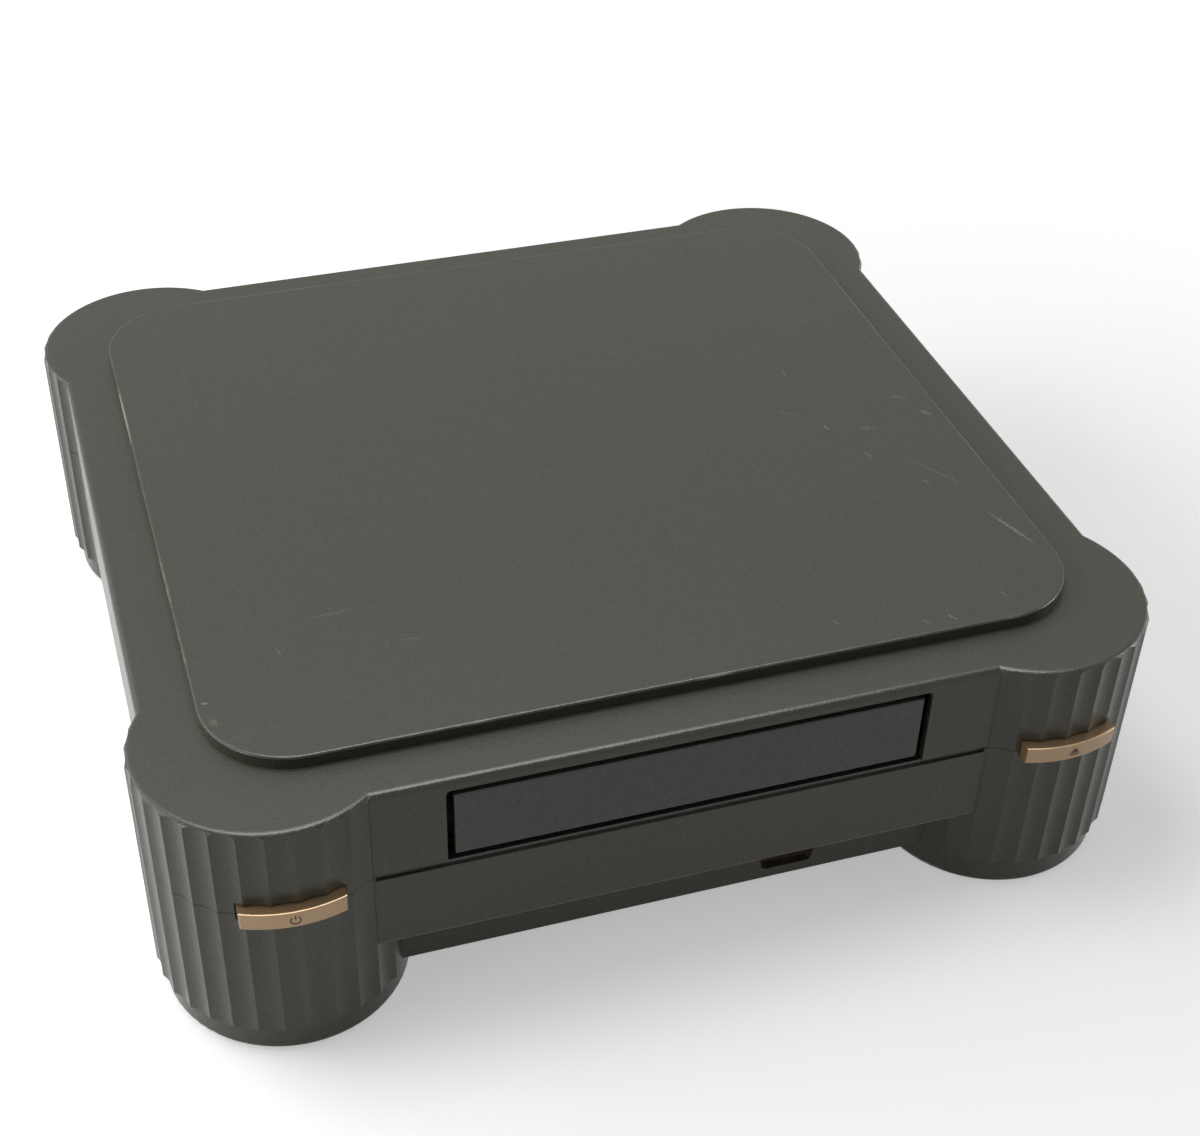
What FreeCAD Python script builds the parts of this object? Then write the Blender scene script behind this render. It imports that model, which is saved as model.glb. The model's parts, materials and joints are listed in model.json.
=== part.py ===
import FreeCAD, Part
import math
import os

# Video game console with a front-loading disc tray. Millimetres, +Z up, front towards -Y.
# Sizes are laid out about the middle of the towers. On export everything moves back by half
# of the buttons' stand-out, so that the origin lies on the ground under the middle of the box.

# Case: slab between four towers
BODY_WIDTH = 289.0
BODY_DEPTH = 270.2
WALL = 2.5
TOWER_RADIUS = 37.7
TOWER_INSET_X = 32.2
TOWER_INSET_Y = 30.7
FOOT_STEP = 2.1
FLUTE_COUNT = 32
FLUTE_DEPTH = 0.8
SHELL_BOTTOM_Z = 0.8
FLOOR_Z = 9.2
FLUTE_END_Z = 11.3
BAND_BOTTOM_Z = 31.3
SEAM_Z = 58.0
TOP_Z = 88.0
TOP_EDGE_ROUND = 2.0
FOOT_EDGE_ROUND = 2.0
UNDERCUT = 12.0
PLATE_WIDTH = 257.6
PLATE_DEPTH = 238.8
PLATE_CORNER = 26.0
PLATE_RISE = 4.0
PLATE_EDGE_ROUND = 0.8
SCREW_POST_RADIUS = 6.0
UPPER_BOSS_RADIUS = 5.0
SCREW_WELL_RADIUS = 4.0
SCREW_POST_TOP_Z = 45.0
SCREW_SHELF = 3.0
COVER_TONGUE = 1.2
COVER_TONGUE_RISE = 2.0
CASE_SCREW_RADIUS = 1.5
CASE_SCREW_LENGTH = 12.0
SCREW_HEAD_RADIUS = 2.8
SCREW_HEAD_HEIGHT = 2.0
FOOT_RADIUS = 14.0
FOOT_HOLE_RADIUS = 8.0
FOOT_SINK = 1.0
FOOT_RING_EDGE = 0.4
RIB_WIDTH = 2.0
RIB_DEPTH = 7.0
RIB_RISE = 6.0
RIB_PLACES = (-0.65, -0.4, 0.4, 0.65)
VENT_COUNT = 16
VENT_PITCH = 5.0
VENT_WIDTH = 2.4
VENT_LENGTH = 14.0
FLOOR_VENT_COUNT = 8
FLOOR_VENT_PITCH = 4.5
FLOOR_VENT_LENGTH = 40.0
FLOOR_VENT_INSET = 12.0

# Fits
PLAY = 0.3
CLOSE = 0.1
SHAFT_PLAY = 0.05
PAST = 1.0

# Front: tray door, indicator strip, buttons, controller port
DOOR_WIDTH = 136.4
DOOR_HEIGHT = 22.0
DOOR_GAP = 2.2
DOOR_THICK = 3.0
DOOR_SETBACK = 0.2
DOOR_EDGE_ROUND = 0.5
DOOR_RECESS = 1.0
DOOR_PAD_WIDTH = 8.0
DOOR_PAD_INSET = 12.0
OPENING_CORNER = 1.5
STRIP_HEIGHT = 1.8
STRIP_SETBACK = 0.8
STRIP_THICK = 1.4
STRIP_LEG = 5.0
BUTTON_WIDTH = 28.8
BUTTON_OFFSET = 1.8
BUTTON_HEIGHT = 5.6
BUTTON_RISE = 1.0
BUTTON_STANDOUT = 3.0
BUTTON_TRAVEL = 1.5
BUTTON_GAP = 0.4
BUTTON_EDGE_ROUND = 0.7
BUTTON_FLANGE = 2.0
BUTTON_STEM = 6.0
SWITCH_SIZE = 8.0
SWITCH_DEPTH = 4.6
SWITCH_BACK = 0.5
PLUNGER_RADIUS = 1.5
PLUNGER_SHOWS = 2.0
FRONT_BOARD_SETBACK = 9.5
FRONT_BOARD_RAISE = 2.2
FRONT_BOARD_REACH = 12.0
FRONT_BOARD_EAR_GAP = 4.0
LAMP_INSET = 10.0
LAMP_SIZE = 4.8
LAMP_HEIGHT = 2.4
LAMP_EDGE_ROUND = 0.6
PORT_X = 37.0
PORT_Z = 18.0
PORT_OPENING_WIDTH = 19.4
PORT_OPENING_HEIGHT = 10.4
PORT_OPENING_CORNER = 2.0
PORT_SHELL_WIDTH = 16.9
PORT_SHELL_HEIGHT = 8.4
PORT_SHELL_CORNER = 1.8
PORT_FLANGE_WIDTH = 30.8
PORT_FLANGE_HEIGHT = 12.0
PORT_SHEET = 0.6
PORT_SIDE_SLOPE = 10.0
PORT_SHELL_DEPTH = 6.0
PORT_PIN_RADIUS = 0.5
PORT_PIN_SETBACK = 1.0
PORT_PIN_PITCH = 2.76
PORT_ROW_PITCH = 2.84

# Disc and tray
DISC_DIAMETER = 120.0
DISC_HOLE = 15.0
DISC_THICK = 1.2
SMALL_DISC_DIAMETER = 80.0
TRAY_TRAVEL = 138.0
TRAY_WIDTH = 129.0
TRAY_HELD = 46.0
TRAY_THICK = 5.0
TRAY_TOP_ABOVE_DOOR = 13.8
TRAY_FRONT_THICK = 2.5
WELL_PLAY = 1.5
WELL_DEPTH = 2.0
SMALL_WELL_DEPTH = 1.5
WELL_FRONT_LAND = 4.0
TRAY_LIP_RISE = 1.0
FINGER_RADIUS = 12.0
FINGER_REACH = 9.0
FINGER_FLOOR = 1.0
TRAY_SLOT_WIDTH = 37.0
RAIL_WIDTH = 6.0
RAIL_DROP = 6.3
RACK_MODULE = 1.25
RACK_HEIGHT = 3.8
RACK_START = 11.0

# Loading drive
TRAY_GEAR_TEETH = 24
PINION_TEETH = 10
GEAR_BACKLASH = 0.2
PRESSURE_ANGLE = 20.0
TRAY_GEAR_FRONT = 33.6
TRAY_GEAR_HEIGHT = 8.0
PINION_HEIGHT = 3.5
PINION_DIRECTION = -15.0
PULLEY_RADIUS = 12.0
MOTOR_PULLEY_RADIUS = 4.0
PULLEY_RIM = 1.2
PULLEY_HEIGHT = 3.6
BELT_SIZE = 1.6
MOTOR_SPACING = 42.0
MOTOR_RADIUS = 12.0
MOTOR_HEIGHT = 17.0
MOTOR_SHAFT_RADIUS = 1.0
AXLE_RADIUS = 1.5
AXLE_BOSS_RADIUS = 3.0
MOTOR_COLLAR_RADIUS = 2.8
MOTOR_COLLAR_RISE = 1.5
MOTOR_END_RADIUS = 4.0
MOTOR_END_RISE = 2.0

# Mechanism chassis
CHASSIS_WALL = 3.0
CHASSIS_FLOOR = 3.0
CHASSIS_RIB = 6.0
CHASSIS_DROP = 19.0
CHASSIS_FRONT_GAP = 1.1
CHASSIS_REAR_ROOM = 9.6
EAR_SIZE = 9.0
CHASSIS_SCREW_RADIUS = 1.5
CHASSIS_SCREW_LENGTH = 10.0
CHASSIS_POST_RADIUS = 4.5
EAR_FRONT = 17.0
EAR_REAR = 12.0
HOLD_DOWN = 2.0
HOLD_DOWN_LENGTH = 12.0
HOLD_DOWN_FRONT_LENGTH = 30.0
HOLD_DOWN_PLACES = (-36.0, 24.0)
RAIL_LEDGE = 2.0
RAIL_LEDGE_INSET = 1.5
PIVOT_EAR_LENGTH = 10.0
PIVOT_EAR_RISE = 3.3
LIFT_CLEAR = 3.0
BRIDGE_WIDTH = 40.0
BRIDGE_SHEET = 1.2
BRIDGE_ABOVE_TRAY = 6.0
BRIDGE_HOLE_RADIUS = 13.5
BRIDGE_LIP = 2.5
BRIDGE_LIP_INSET = 9.0

# Lift frame, optical base and pickup
LIFT_LEFT = 34.0
LIFT_RIGHT = 50.0
LIFT_FRONT = 22.0
LIFT_REAR = 86.0
LIFT_THICK = 4.0
LIFT_BAR = 8.0
LIFT_PIN_RADIUS = 2.0
LIFT_PIN_LENGTH = 5.0
PIVOT_BEHIND_SPINDLE = 82.0
BASE_THICK = 1.5
BASE_MARGIN = 2.0
DAMPER_RADIUS = 4.0
DAMPER_HEIGHT = 4.5
DAMPER_GROOVE_RADIUS = 2.8
DAMPER_BORE_RADIUS = 1.7
DAMPER_SCREW_RADIUS = 1.5
DAMPER_SCREW_LENGTH = 7.5
DAMPER_REAR_INSET = 10.0
TURNTABLE_RADIUS = 15.5
TURNTABLE_RIM = 2.4
TURNTABLE_NECK_RADIUS = 4.0
TURNTABLE_NECK_DROP = 3.0
HUB_RIM = 0.8
HUB_HEIGHT = 2.4
HUB_TAPER = 2.0
SPINDLE_RADIUS = 1.0
SPINDLE_HOLE_RADIUS = 4.0
SPINDLE_MOTOR_RADIUS = 12.0
SPINDLE_MOTOR_HEIGHT = 9.0
DISC_LIFT = 1.8
LENS_START = 23.0
SLED_TRAVEL = 35.0
SLED_WIDTH = 48.0
SLED_LENGTH = 22.0
SLED_HEIGHT = 8.0
SLED_ABOVE_BASE = 3.0
ROD_RADIUS = 1.5
ROD_SPACING = 36.0
ROD_ABOVE_BASE = 6.0
ROD_BLOCK = 5.0
ROD_BLOCK_DEPTH = 4.0
ROD_BLOCK_GAP = 4.0
LENS_RADIUS = 3.6
LENS_GAP = 2.0
LENS_SEAT = 3.2
LENS_CROWN = 1.0
LENS_CROWN_RADIUS = 2.2
BARREL_RADIUS = 6.6
BARREL_DROP = 2.0
FEED_MODULE = 0.8
FEED_PINION_TEETH = 12
FEED_WHEEL_TEETH = 24
FEED_MOTOR_TEETH = 9
FEED_GEAR_GAP = 0.4
FEED_WHEEL_THICK = 2.0
FEED_MOTOR_PINION_THICK = 2.2
FEED_SHAFT_HOLE_RADIUS = 2.0
FEED_PINION_RISE = 5.0
FEED_RACK_RISE = 2.4
FEED_RACK_OVERRUN = 4.0
FEED_RACK_ROOT = 3.0
FEED_GEAR_BEHIND = 52.0
FEED_MOTOR_RADIUS = 7.0
FEED_MOTOR_HEIGHT = 12.0

# Clamp
CLAMP_PUCK_RADIUS = 15.0
CLAMP_NECK_RADIUS = 12.8
CLAMP_CAP_RADIUS = 17.0
CLAMP_ABOVE_DISC = 0.2
CLAMP_CAP_THICK = 2.0
CLAMP_FOOT = 2.6
CLAMP_RECESS = 2.2
CLAMP_RECESS_RADIUS = 8.5
MAGNET_RADIUS = 9.0
MAGNET_THICK = 2.0

# Boards and rear connectors
BOARD_THICK = 1.6
BOARD_STANDOFF = 8.3
STANDOFF_RADIUS = 3.5
BOARD_SCREW_RADIUS = 1.2
BOARD_SCREW_LENGTH = 7.0
BOARD_HOLE_RADIUS = 1.5
MAIN_SCREW_INSET = 6.0
POWER_SCREW_INSET = 5.0
MAIN_BOARD_LEFT = -56.0
MAIN_BOARD_RIGHT = 96.0
MAIN_BOARD_FRONT = 19.0
MAIN_BOARD_REAR = 10.0
POWER_BOARD_WIDTH = 46.0
POWER_BOARD_LENGTH = 128.0
POWER_BOARD_SIDE = 5.0
CHIP_SIZE = 28.0
CHIP_HEIGHT = 3.4
CHIP_PLACES = ((0.0, 20.0), (38.0, 20.0))
MEMORY_SIZE = 11.0
MEMORY_HEIGHT = 2.6
MEMORY_PITCH = 16.0
MEMORY_COUNT = 4
MEMORY_X = -20.0
MEMORY_Y = -44.0
CHIP_EDGE = 1.0
SHIELD_LEFT = -30.0
SHIELD_RIGHT = 62.0
SHIELD_FRONT = -20.0
SHIELD_REAR = 60.0
SHIELD_HEIGHT = 9.0
SHIELD_MARGIN = 12.0
SHIELD_SLOT = 4.0
SHIELD_SLOT_PLACES = (0.0, 20.0, 40.0)
TRANSFORMER_Y = 28.0
CORE_DEPTH = 24.0
CORE_HEIGHT = 34.0
CORE_LIMB = 12.0
CORE_YOKE = 6.0
CORE_WINDOW = 8.0
WINDING_DEPTH = 38.0
WINDING_CORNER = 4.0
CAPACITOR_RADIUS = 9.0
CAPACITOR_HEIGHT = 30.0
CAPACITOR_PITCH = 22.0
CAPACITOR_Y = -8.0
CAPACITOR_EDGE = 1.0
HEAT_SINK_WIDTH = 36.0
HEAT_SINK_THICK = 3.0
HEAT_SINK_HEIGHT = 28.0
HEAT_SINK_Y = -38.0
FIN_COUNT = 6
FIN_PITCH = 6.0
FIN_THICK = 1.5
FIN_DEPTH = 10.0
BAY_LEFT = -46.0
BAY_RIGHT = 76.0
BAY_DEPTH = 3.0
BAY_BOTTOM_Z = 17.0
BAY_HEIGHT = 34.0
JACK_RADIUS = 4.15
JACK_COLLAR_RADIUS = 5.2
JACK_BORE_RADIUS = 1.6
JACK_LENGTH = 8.4
JACK_RISE = 9.4
JACK_PITCH = 16.0
JACK_FIRST_X = 10.0
JACK_BODY_WIDTH = 11.0
JACK_BODY_DEPTH = 12.0
JACK_BODY_HEIGHT = 15.0
JACK_BORE_DEPTH = 10.4
DIN_RADIUS = 5.4
DIN_WALL = 0.9
DIN_RING = 1.5
DIN_DEPTH = 7.0
DIN_BODY_MARGIN = 1.6
MODULATOR_LEFT = -42.0
MODULATOR_WIDTH = 40.0
MODULATOR_DEPTH = 24.0
MODULATOR_HEIGHT = 22.0
AERIAL_RADIUS = 4.75
AERIAL_COLLAR_RADIUS = 5.8
AERIAL_BORE_RADIUS = 2.0
AERIAL_LENGTH = 8.0
AERIAL_PITCH = 24.0
AERIAL_BORE_DEPTH = 10.0
CHANNEL_TRAVEL = 3.0
CHANNEL_KNOB = 3.0
CHANNEL_KNOB_STANDOUT = 1.5
CHANNEL_SLOT_HEIGHT = 4.0
CHANNEL_TRACK_HEIGHT = 3.6
CHANNEL_TRACK_DEPTH = 4.0
INLET_FROM_TOWER = 42.3
INLET_Z = 36.0
INLET_WIDTH = 16.9
INLET_HEIGHT = 9.0
INLET_DEPTH = 14.0
INLET_PIN_PITCH = 8.6
INLET_PIN_RADIUS = 1.2
INLET_PIN_LENGTH = 8.0
INLET_BACK = 2.0
INLET_FRAME = 2.0
INLET_FLANGE = 4.5
INLET_FLANGE_THICK = 1.5
INLET_RIM = 0.5
SHEET = 0.6

# Places that follow from the sizes above
HALF_WIDTH = BODY_WIDTH / 2
HALF_DEPTH = BODY_DEPTH / 2
FRONT_Y = -HALF_DEPTH
REAR_Y = HALF_DEPTH
TOWER_X = HALF_WIDTH - TOWER_INSET_X
TOWER_Y = HALF_DEPTH - TOWER_INSET_Y
PLATE_Z = TOP_Z + PLATE_RISE
CEILING_Z = TOP_Z - WALL
INNER_FLOOR_Z = FLOOR_Z + WALL
BAND_FLOOR_Z = BAND_BOTTOM_Z + WALL
SKIRT_FRONT_Y = FRONT_Y + UNDERCUT
SKIRT_HALF_WIDTH = HALF_WIDTH - UNDERCUT
TOWER_CORE_RADIUS = TOWER_RADIUS - FOOT_STEP
TOWER_BORE_RADIUS = TOWER_CORE_RADIUS - WALL
TOWER_ROOM_RADIUS = TOWER_RADIUS - FLUTE_DEPTH - WALL
JUNCTION_X = TOWER_X - math.sqrt(TOWER_RADIUS ** 2 - TOWER_INSET_Y ** 2)
LEDGE_Z = SEAM_Z - STRIP_HEIGHT
DOOR_BOTTOM_Z = SEAM_Z + DOOR_GAP
DOOR_TOP_Z = DOOR_BOTTOM_Z + DOOR_HEIGHT
DOOR_FRONT_Y = FRONT_Y + DOOR_SETBACK
DOOR_BACK_Y = DOOR_FRONT_Y + DOOR_THICK
TRAY_TOP_Z = DOOR_BOTTOM_Z + TRAY_TOP_ABOVE_DOOR
TRAY_PLATE_Z = TRAY_TOP_Z - TRAY_THICK
RAIL_Z = TRAY_PLATE_Z - RAIL_DROP
TRAY_REAR_Y = DOOR_BACK_Y + TRAY_TRAVEL + TRAY_HELD
WELL_RADIUS = DISC_DIAMETER / 2 + WELL_PLAY
SPINDLE_Y = DOOR_BACK_Y + TRAY_FRONT_THICK + WELL_FRONT_LAND + WELL_RADIUS
DISC_Z = TRAY_TOP_Z - WELL_DEPTH + DISC_LIFT
RAIL_OUTER_X = TRAY_WIDTH / 2
RAIL_INNER_X = RAIL_OUTER_X - RAIL_WIDTH
RACK_LINE_X = -RAIL_INNER_X + 1.2 * RACK_MODULE
TRAY_GEAR_RADIUS = RACK_MODULE * TRAY_GEAR_TEETH / 2
TRAY_GEAR_X = RACK_LINE_X + TRAY_GEAR_RADIUS
TRAY_GEAR_Y = DOOR_BACK_Y + TRAY_GEAR_FRONT
TRAY_GEAR_TOP_Z = RAIL_Z + RACK_HEIGHT - PLAY
TRAY_GEAR_Z = TRAY_GEAR_TOP_Z - TRAY_GEAR_HEIGHT
PINION_RADIUS = RACK_MODULE * PINION_TEETH / 2
PINION_X = TRAY_GEAR_X + (TRAY_GEAR_RADIUS + PINION_RADIUS) * math.cos(math.radians(PINION_DIRECTION))
PINION_Y = TRAY_GEAR_Y + (TRAY_GEAR_RADIUS + PINION_RADIUS) * math.sin(math.radians(PINION_DIRECTION))
PULLEY_TOP_Z = TRAY_GEAR_Z - 2 * PLAY
PULLEY_Z = PULLEY_TOP_Z - PULLEY_HEIGHT
MOTOR_X = PINION_X + MOTOR_SPACING
MOTOR_Y = PINION_Y
CHASSIS_HALF = RAIL_OUTER_X + PLAY + CHASSIS_WALL
FRONT_BOARD_Y = FRONT_Y + FRONT_BOARD_SETBACK
CHASSIS_FRONT_Y = FRONT_BOARD_Y + BOARD_THICK + CHASSIS_FRONT_GAP
CHASSIS_REAR_Y = TRAY_REAR_Y + CHASSIS_REAR_ROOM
CHASSIS_Z = RAIL_Z - CHASSIS_DROP
CHASSIS_FLOOR_TOP = CHASSIS_Z + CHASSIS_FLOOR
CHASSIS_WALL_TOP = TRAY_TOP_Z + PLAY + HOLD_DOWN
BRIDGE_Z = TRAY_TOP_Z + BRIDGE_ABOVE_TRAY
EAR_X = CHASSIS_HALF + EAR_SIZE / 2
EAR_Y = (CHASSIS_FRONT_Y + EAR_FRONT, CHASSIS_REAR_Y - EAR_REAR)
LIFT_Z = CHASSIS_FLOOR_TOP + 2.0
LIFT_TOP_Z = LIFT_Z + LIFT_THICK
LIFT_FRONT_Y = SPINDLE_Y - LIFT_FRONT
LIFT_REAR_Y = SPINDLE_Y + LIFT_REAR
PIVOT_Y = SPINDLE_Y + PIVOT_BEHIND_SPINDLE
PIVOT_Z = LIFT_Z + LIFT_THICK / 2
BASE_Z = LIFT_TOP_Z + (DAMPER_HEIGHT - BASE_THICK) / 2
BASE_TOP_Z = BASE_Z + BASE_THICK
ROD_Z = BASE_TOP_Z + ROD_ABOVE_BASE
SLED_Z = BASE_TOP_Z + SLED_ABOVE_BASE
SLED_TOP_Z = SLED_Z + SLED_HEIGHT
SLED_Y = SPINDLE_Y + LENS_START
LENS_TOP_Z = DISC_Z - LENS_GAP
FEED_LINE_X = SLED_WIDTH / 2 + 1.2 * FEED_MODULE
FEED_PINION_RADIUS = FEED_MODULE * FEED_PINION_TEETH / 2
FEED_WHEEL_RADIUS = FEED_MODULE * FEED_WHEEL_TEETH / 2
FEED_MOTOR_PINION_RADIUS = FEED_MODULE * FEED_MOTOR_TEETH / 2
FEED_X = FEED_LINE_X + FEED_PINION_RADIUS
FEED_Y = SPINDLE_Y + FEED_GEAR_BEHIND
FEED_PINION_TOP_Z = SLED_Z + FEED_PINION_RISE
FEED_RACK_Z = SLED_Z + FEED_RACK_RISE
FEED_WHEEL_Z = BASE_TOP_Z + FEED_GEAR_GAP
FEED_MOTOR_Y = FEED_Y + FEED_WHEEL_RADIUS + FEED_MOTOR_PINION_RADIUS
CLAMP_Z = DISC_Z + DISC_THICK + CLAMP_ABOVE_DISC
CLAMP_CAP_Z = BRIDGE_Z + BRIDGE_SHEET
BUTTON_Z = SEAM_Z + BUTTON_RISE - BUTTON_HEIGHT / 2
BUTTON_TOP_Z = BUTTON_Z + BUTTON_HEIGHT
STEM_END_Y = FRONT_BOARD_Y - SWITCH_DEPTH - PLUNGER_SHOWS
FRONT_BOARD_Z = BAND_FLOOR_Z + FRONT_BOARD_RAISE
PORT_MOUTH_Y = SKIRT_FRONT_Y + WALL
BOARD_Z = INNER_FLOOR_Z + BOARD_STANDOFF
BOARD_TOP_Z = BOARD_Z + BOARD_THICK
POWER_BOARD_X = -SKIRT_HALF_WIDTH + WALL + POWER_BOARD_SIDE
BAY_Y = REAR_Y - BAY_DEPTH
INLET_X = -TOWER_X + INLET_FROM_TOWER
INLET_BACK_Y = REAR_Y - INLET_DEPTH + INLET_BACK
BAY_INNER_Y = BAY_Y - WALL
JACK_Z = BOARD_TOP_Z + JACK_RISE

CORNERS = {
    "front_left": (-1, -1),
    "front_right": (1, -1),
    "rear_left": (-1, 1),
    "rear_right": (1, 1),
}


def point(x, y, z):
    return FreeCAD.Vector(x, y, z)


def box(x0, x1, y0, y1, z0, z1):
    return Part.makeBox(x1 - x0, y1 - y0, z1 - z0, point(x0, y0, z0))


def block(x, y, width, depth, z0, z1):
    """Box centred on x and y."""
    return box(x - width / 2, x + width / 2, y - depth / 2, y + depth / 2, z0, z1)


def post(x, y, z0, z1, radius):
    """Upright round bar."""
    return Part.makeCylinder(radius, z1 - z0, point(x, y, z0))


def bar_x(y, z, x0, x1, radius):
    """Round bar along X."""
    return Part.makeCylinder(radius, x1 - x0, point(x0, y, z), point(1, 0, 0))


def bar_y(x, z, y0, y1, radius):
    """Round bar along Y."""
    return Part.makeCylinder(radius, y1 - y0, point(x, y0, z), point(0, 1, 0))


def joined(shapes):
    """One body from overlapping or touching shapes."""
    first = shapes[0]
    return first.multiFuse(shapes[1:]).removeSplitter()


def without(shape, tools):
    return shape.cut(tools)


def prism(points, z0, z1):
    """Straight-sided prism over a closed outline of x, y points."""
    corners = [point(x, y, z0) for x, y in points]
    outline = Part.makePolygon(corners + corners[:1])
    return Part.Face(outline).extrude(point(0, 0, z1 - z0))


def turned(x, y, outline):
    """Solid of revolution about an upright axis from radius, height points."""
    corners = [point(x + r, y, z) for r, z in outline]
    face = Part.Face(Part.makePolygon(corners + corners[:1]))
    return face.revolve(point(x, y, 0), point(0, 0, 1), 360)


def flat_edges(shape, z):
    """Edges that lie wholly at height z."""
    return [e for e in shape.Edges if all(abs(v.Z - z) < 1e-6 for v in e.Vertexes)]


def slab_between_towers(half_x, y0, y1, z0, z1):
    """Slab whose corners end inside the towers."""
    return joined([
        box(-TOWER_X, TOWER_X, y0, y1, z0, z1),
        box(-half_x, half_x, -TOWER_Y, TOWER_Y, z0, z1),
    ])


def upright_edges(shape):
    """Straight edges that run along Z."""
    found = []
    for edge in shape.Edges:
        ends = edge.Vertexes
        if len(ends) == 2 and abs(ends[0].X - ends[1].X) < 1e-6 and abs(ends[0].Y - ends[1].Y) < 1e-6:
            found.append(edge)
    return found


def rounded_block(width, depth, corner, z0, z1):
    plain = block(0, 0, width, depth, z0, z1)
    return plain.makeFillet(corner, upright_edges(plain))


def tower_places():
    return [(sx * TOWER_X, sy * TOWER_Y) for sx, sy in CORNERS.values()]


def fluted_prism(x, y, z0, z1):
    """Upright prism with hollow flutes all round that meet in ridges."""
    step = 2 * math.pi / FLUTE_COUNT
    edges = []
    for index in range(FLUTE_COUNT):
        stops = []
        for part, radius in ((0, TOWER_RADIUS), (0.5, TOWER_RADIUS - FLUTE_DEPTH), (1, TOWER_RADIUS)):
            angle = (index + part) * step
            stops.append(point(x + radius * math.cos(angle), y + radius * math.sin(angle), z0))
        edges.append(Part.Arc(*stops).toShape())
    return Part.Face(Part.Wire(edges)).extrude(point(0, 0, z1 - z0))


def tooth_angle(radius, base, pitch_radius, half_tooth):
    """Half the angle that a tooth takes at a radius, from the involute of its base circle."""
    at_pitch = math.acos(base / pitch_radius)
    here = math.acos(min(1.0, base / radius))
    return half_tooth + (math.tan(at_pitch) - at_pitch) - (math.tan(here) - here)


def gear(x, y, z0, z1, teeth, module, phase, bore):
    """Spur gear with one tooth centred on the angle phase, in degrees."""
    pitch_radius = module * teeth / 2
    base = pitch_radius * math.cos(math.radians(PRESSURE_ANGLE))
    half_tooth = math.pi / (2 * teeth) - GEAR_BACKLASH / (4 * pitch_radius)
    root = pitch_radius - 1.25 * module
    tip = pitch_radius + module
    outline = []
    for tooth in range(teeth):
        centre = math.radians(phase) + 2 * math.pi * tooth / teeth
        flank = [(r, tooth_angle(r, base, pitch_radius, half_tooth)) for r in (root, pitch_radius, tip)]
        for side, stretch in ((-1, flank), (1, flank[::-1])):
            for radius, half in stretch:
                angle = centre + side * half
                outline.append((x + radius * math.cos(angle), y + radius * math.sin(angle)))
    return without(prism(outline, z0, z1), [post(x, y, z0 - PAST, z1 + PAST, bore)])


def meshed_phase(phase, teeth, direction, other_teeth):
    """Phase of a gear that lies in a direction from another one and meshes with it, in degrees."""
    step = 360.0 / teeth
    lag = (direction - phase) % step
    return direction + 180 + 180.0 / other_teeth + lag * teeth / other_teeth


def rack(line_x, side, y_gap, y0, y1, z0, z1, module, root_x):
    """Rack along Y with its teeth towards side and a gap centred on y_gap."""
    pitch = math.pi * module
    slope = math.tan(math.radians(PRESSURE_ANGLE))
    half = pitch / 4 - GEAR_BACKLASH / 4
    first = math.ceil((y0 - y_gap) / pitch)
    last = math.floor((y1 - y_gap) / pitch)
    outline = [(root_x, y0)]
    foot_x = line_x - side * 1.2 * module
    tip_x = line_x + side * module
    foot_half = half + 1.2 * module * slope
    tip_half = half - module * slope
    outline.append((foot_x, y0))
    for index in range(first, last):
        middle = y_gap + (index + 0.5) * pitch
        outline += [(foot_x, middle - foot_half), (tip_x, middle - tip_half)]
        outline += [(tip_x, middle + tip_half), (foot_x, middle + foot_half)]
    outline += [(foot_x, y1), (root_x, y1)]
    return prism(outline, z0, z1)


def pulley(x, y, z0, radius, bore):
    """Pulley wheel with a square groove for the belt."""
    rim = radius + PULLEY_RIM
    middle = z0 + PULLEY_HEIGHT / 2
    half_groove = BELT_SIZE / 2 + CLOSE
    top = z0 + PULLEY_HEIGHT
    outline = [(bore, z0), (rim, z0), (rim, middle - half_groove), (radius, middle - half_groove)]
    outline += [(radius, middle + half_groove), (rim, middle + half_groove), (rim, top), (bore, top)]
    return turned(x, y, outline)


def belt_loop(x0, y0, r0, x1, y1, r1, z0, z1):
    """Solid inside a tight loop round two circles."""
    span = math.hypot(x1 - x0, y1 - y0)
    heading = math.atan2(y1 - y0, x1 - x0)
    lean = math.acos((r0 - r1) / span)

    def on_circle(x, y, r, angle):
        return point(x + r * math.cos(heading + angle), y + r * math.sin(heading + angle), z0)

    start = on_circle(x0, y0, r0, lean)
    back = on_circle(x0, y0, r0, math.pi)
    under = on_circle(x0, y0, r0, -lean)
    far_under = on_circle(x1, y1, r1, -lean)
    nose = on_circle(x1, y1, r1, 0)
    far_start = on_circle(x1, y1, r1, lean)
    edges = [
        Part.Arc(start, back, under).toShape(),
        Part.LineSegment(under, far_under).toShape(),
        Part.Arc(far_under, nose, far_start).toShape(),
        Part.LineSegment(far_start, start).toShape(),
    ]
    return Part.Face(Part.Wire(edges)).extrude(point(0, 0, z1 - z0))


def button_window(side, gap, y0, y1):
    """Block through a front tower's wall where its button passes."""
    middle = side * (TOWER_X + BUTTON_OFFSET)
    half = BUTTON_WIDTH / 2 + gap
    return box(middle - half, middle + half, y0, y1, BUTTON_Z - gap, BUTTON_TOP_Z + gap)


def button_windows():
    outer = -TOWER_Y - TOWER_RADIUS - 2 * BUTTON_STANDOUT
    inner = -TOWER_Y - TOWER_ROOM_RADIUS / 2
    return [button_window(side, BUTTON_GAP, outer, inner) for side in (-1, 1)]


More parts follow.
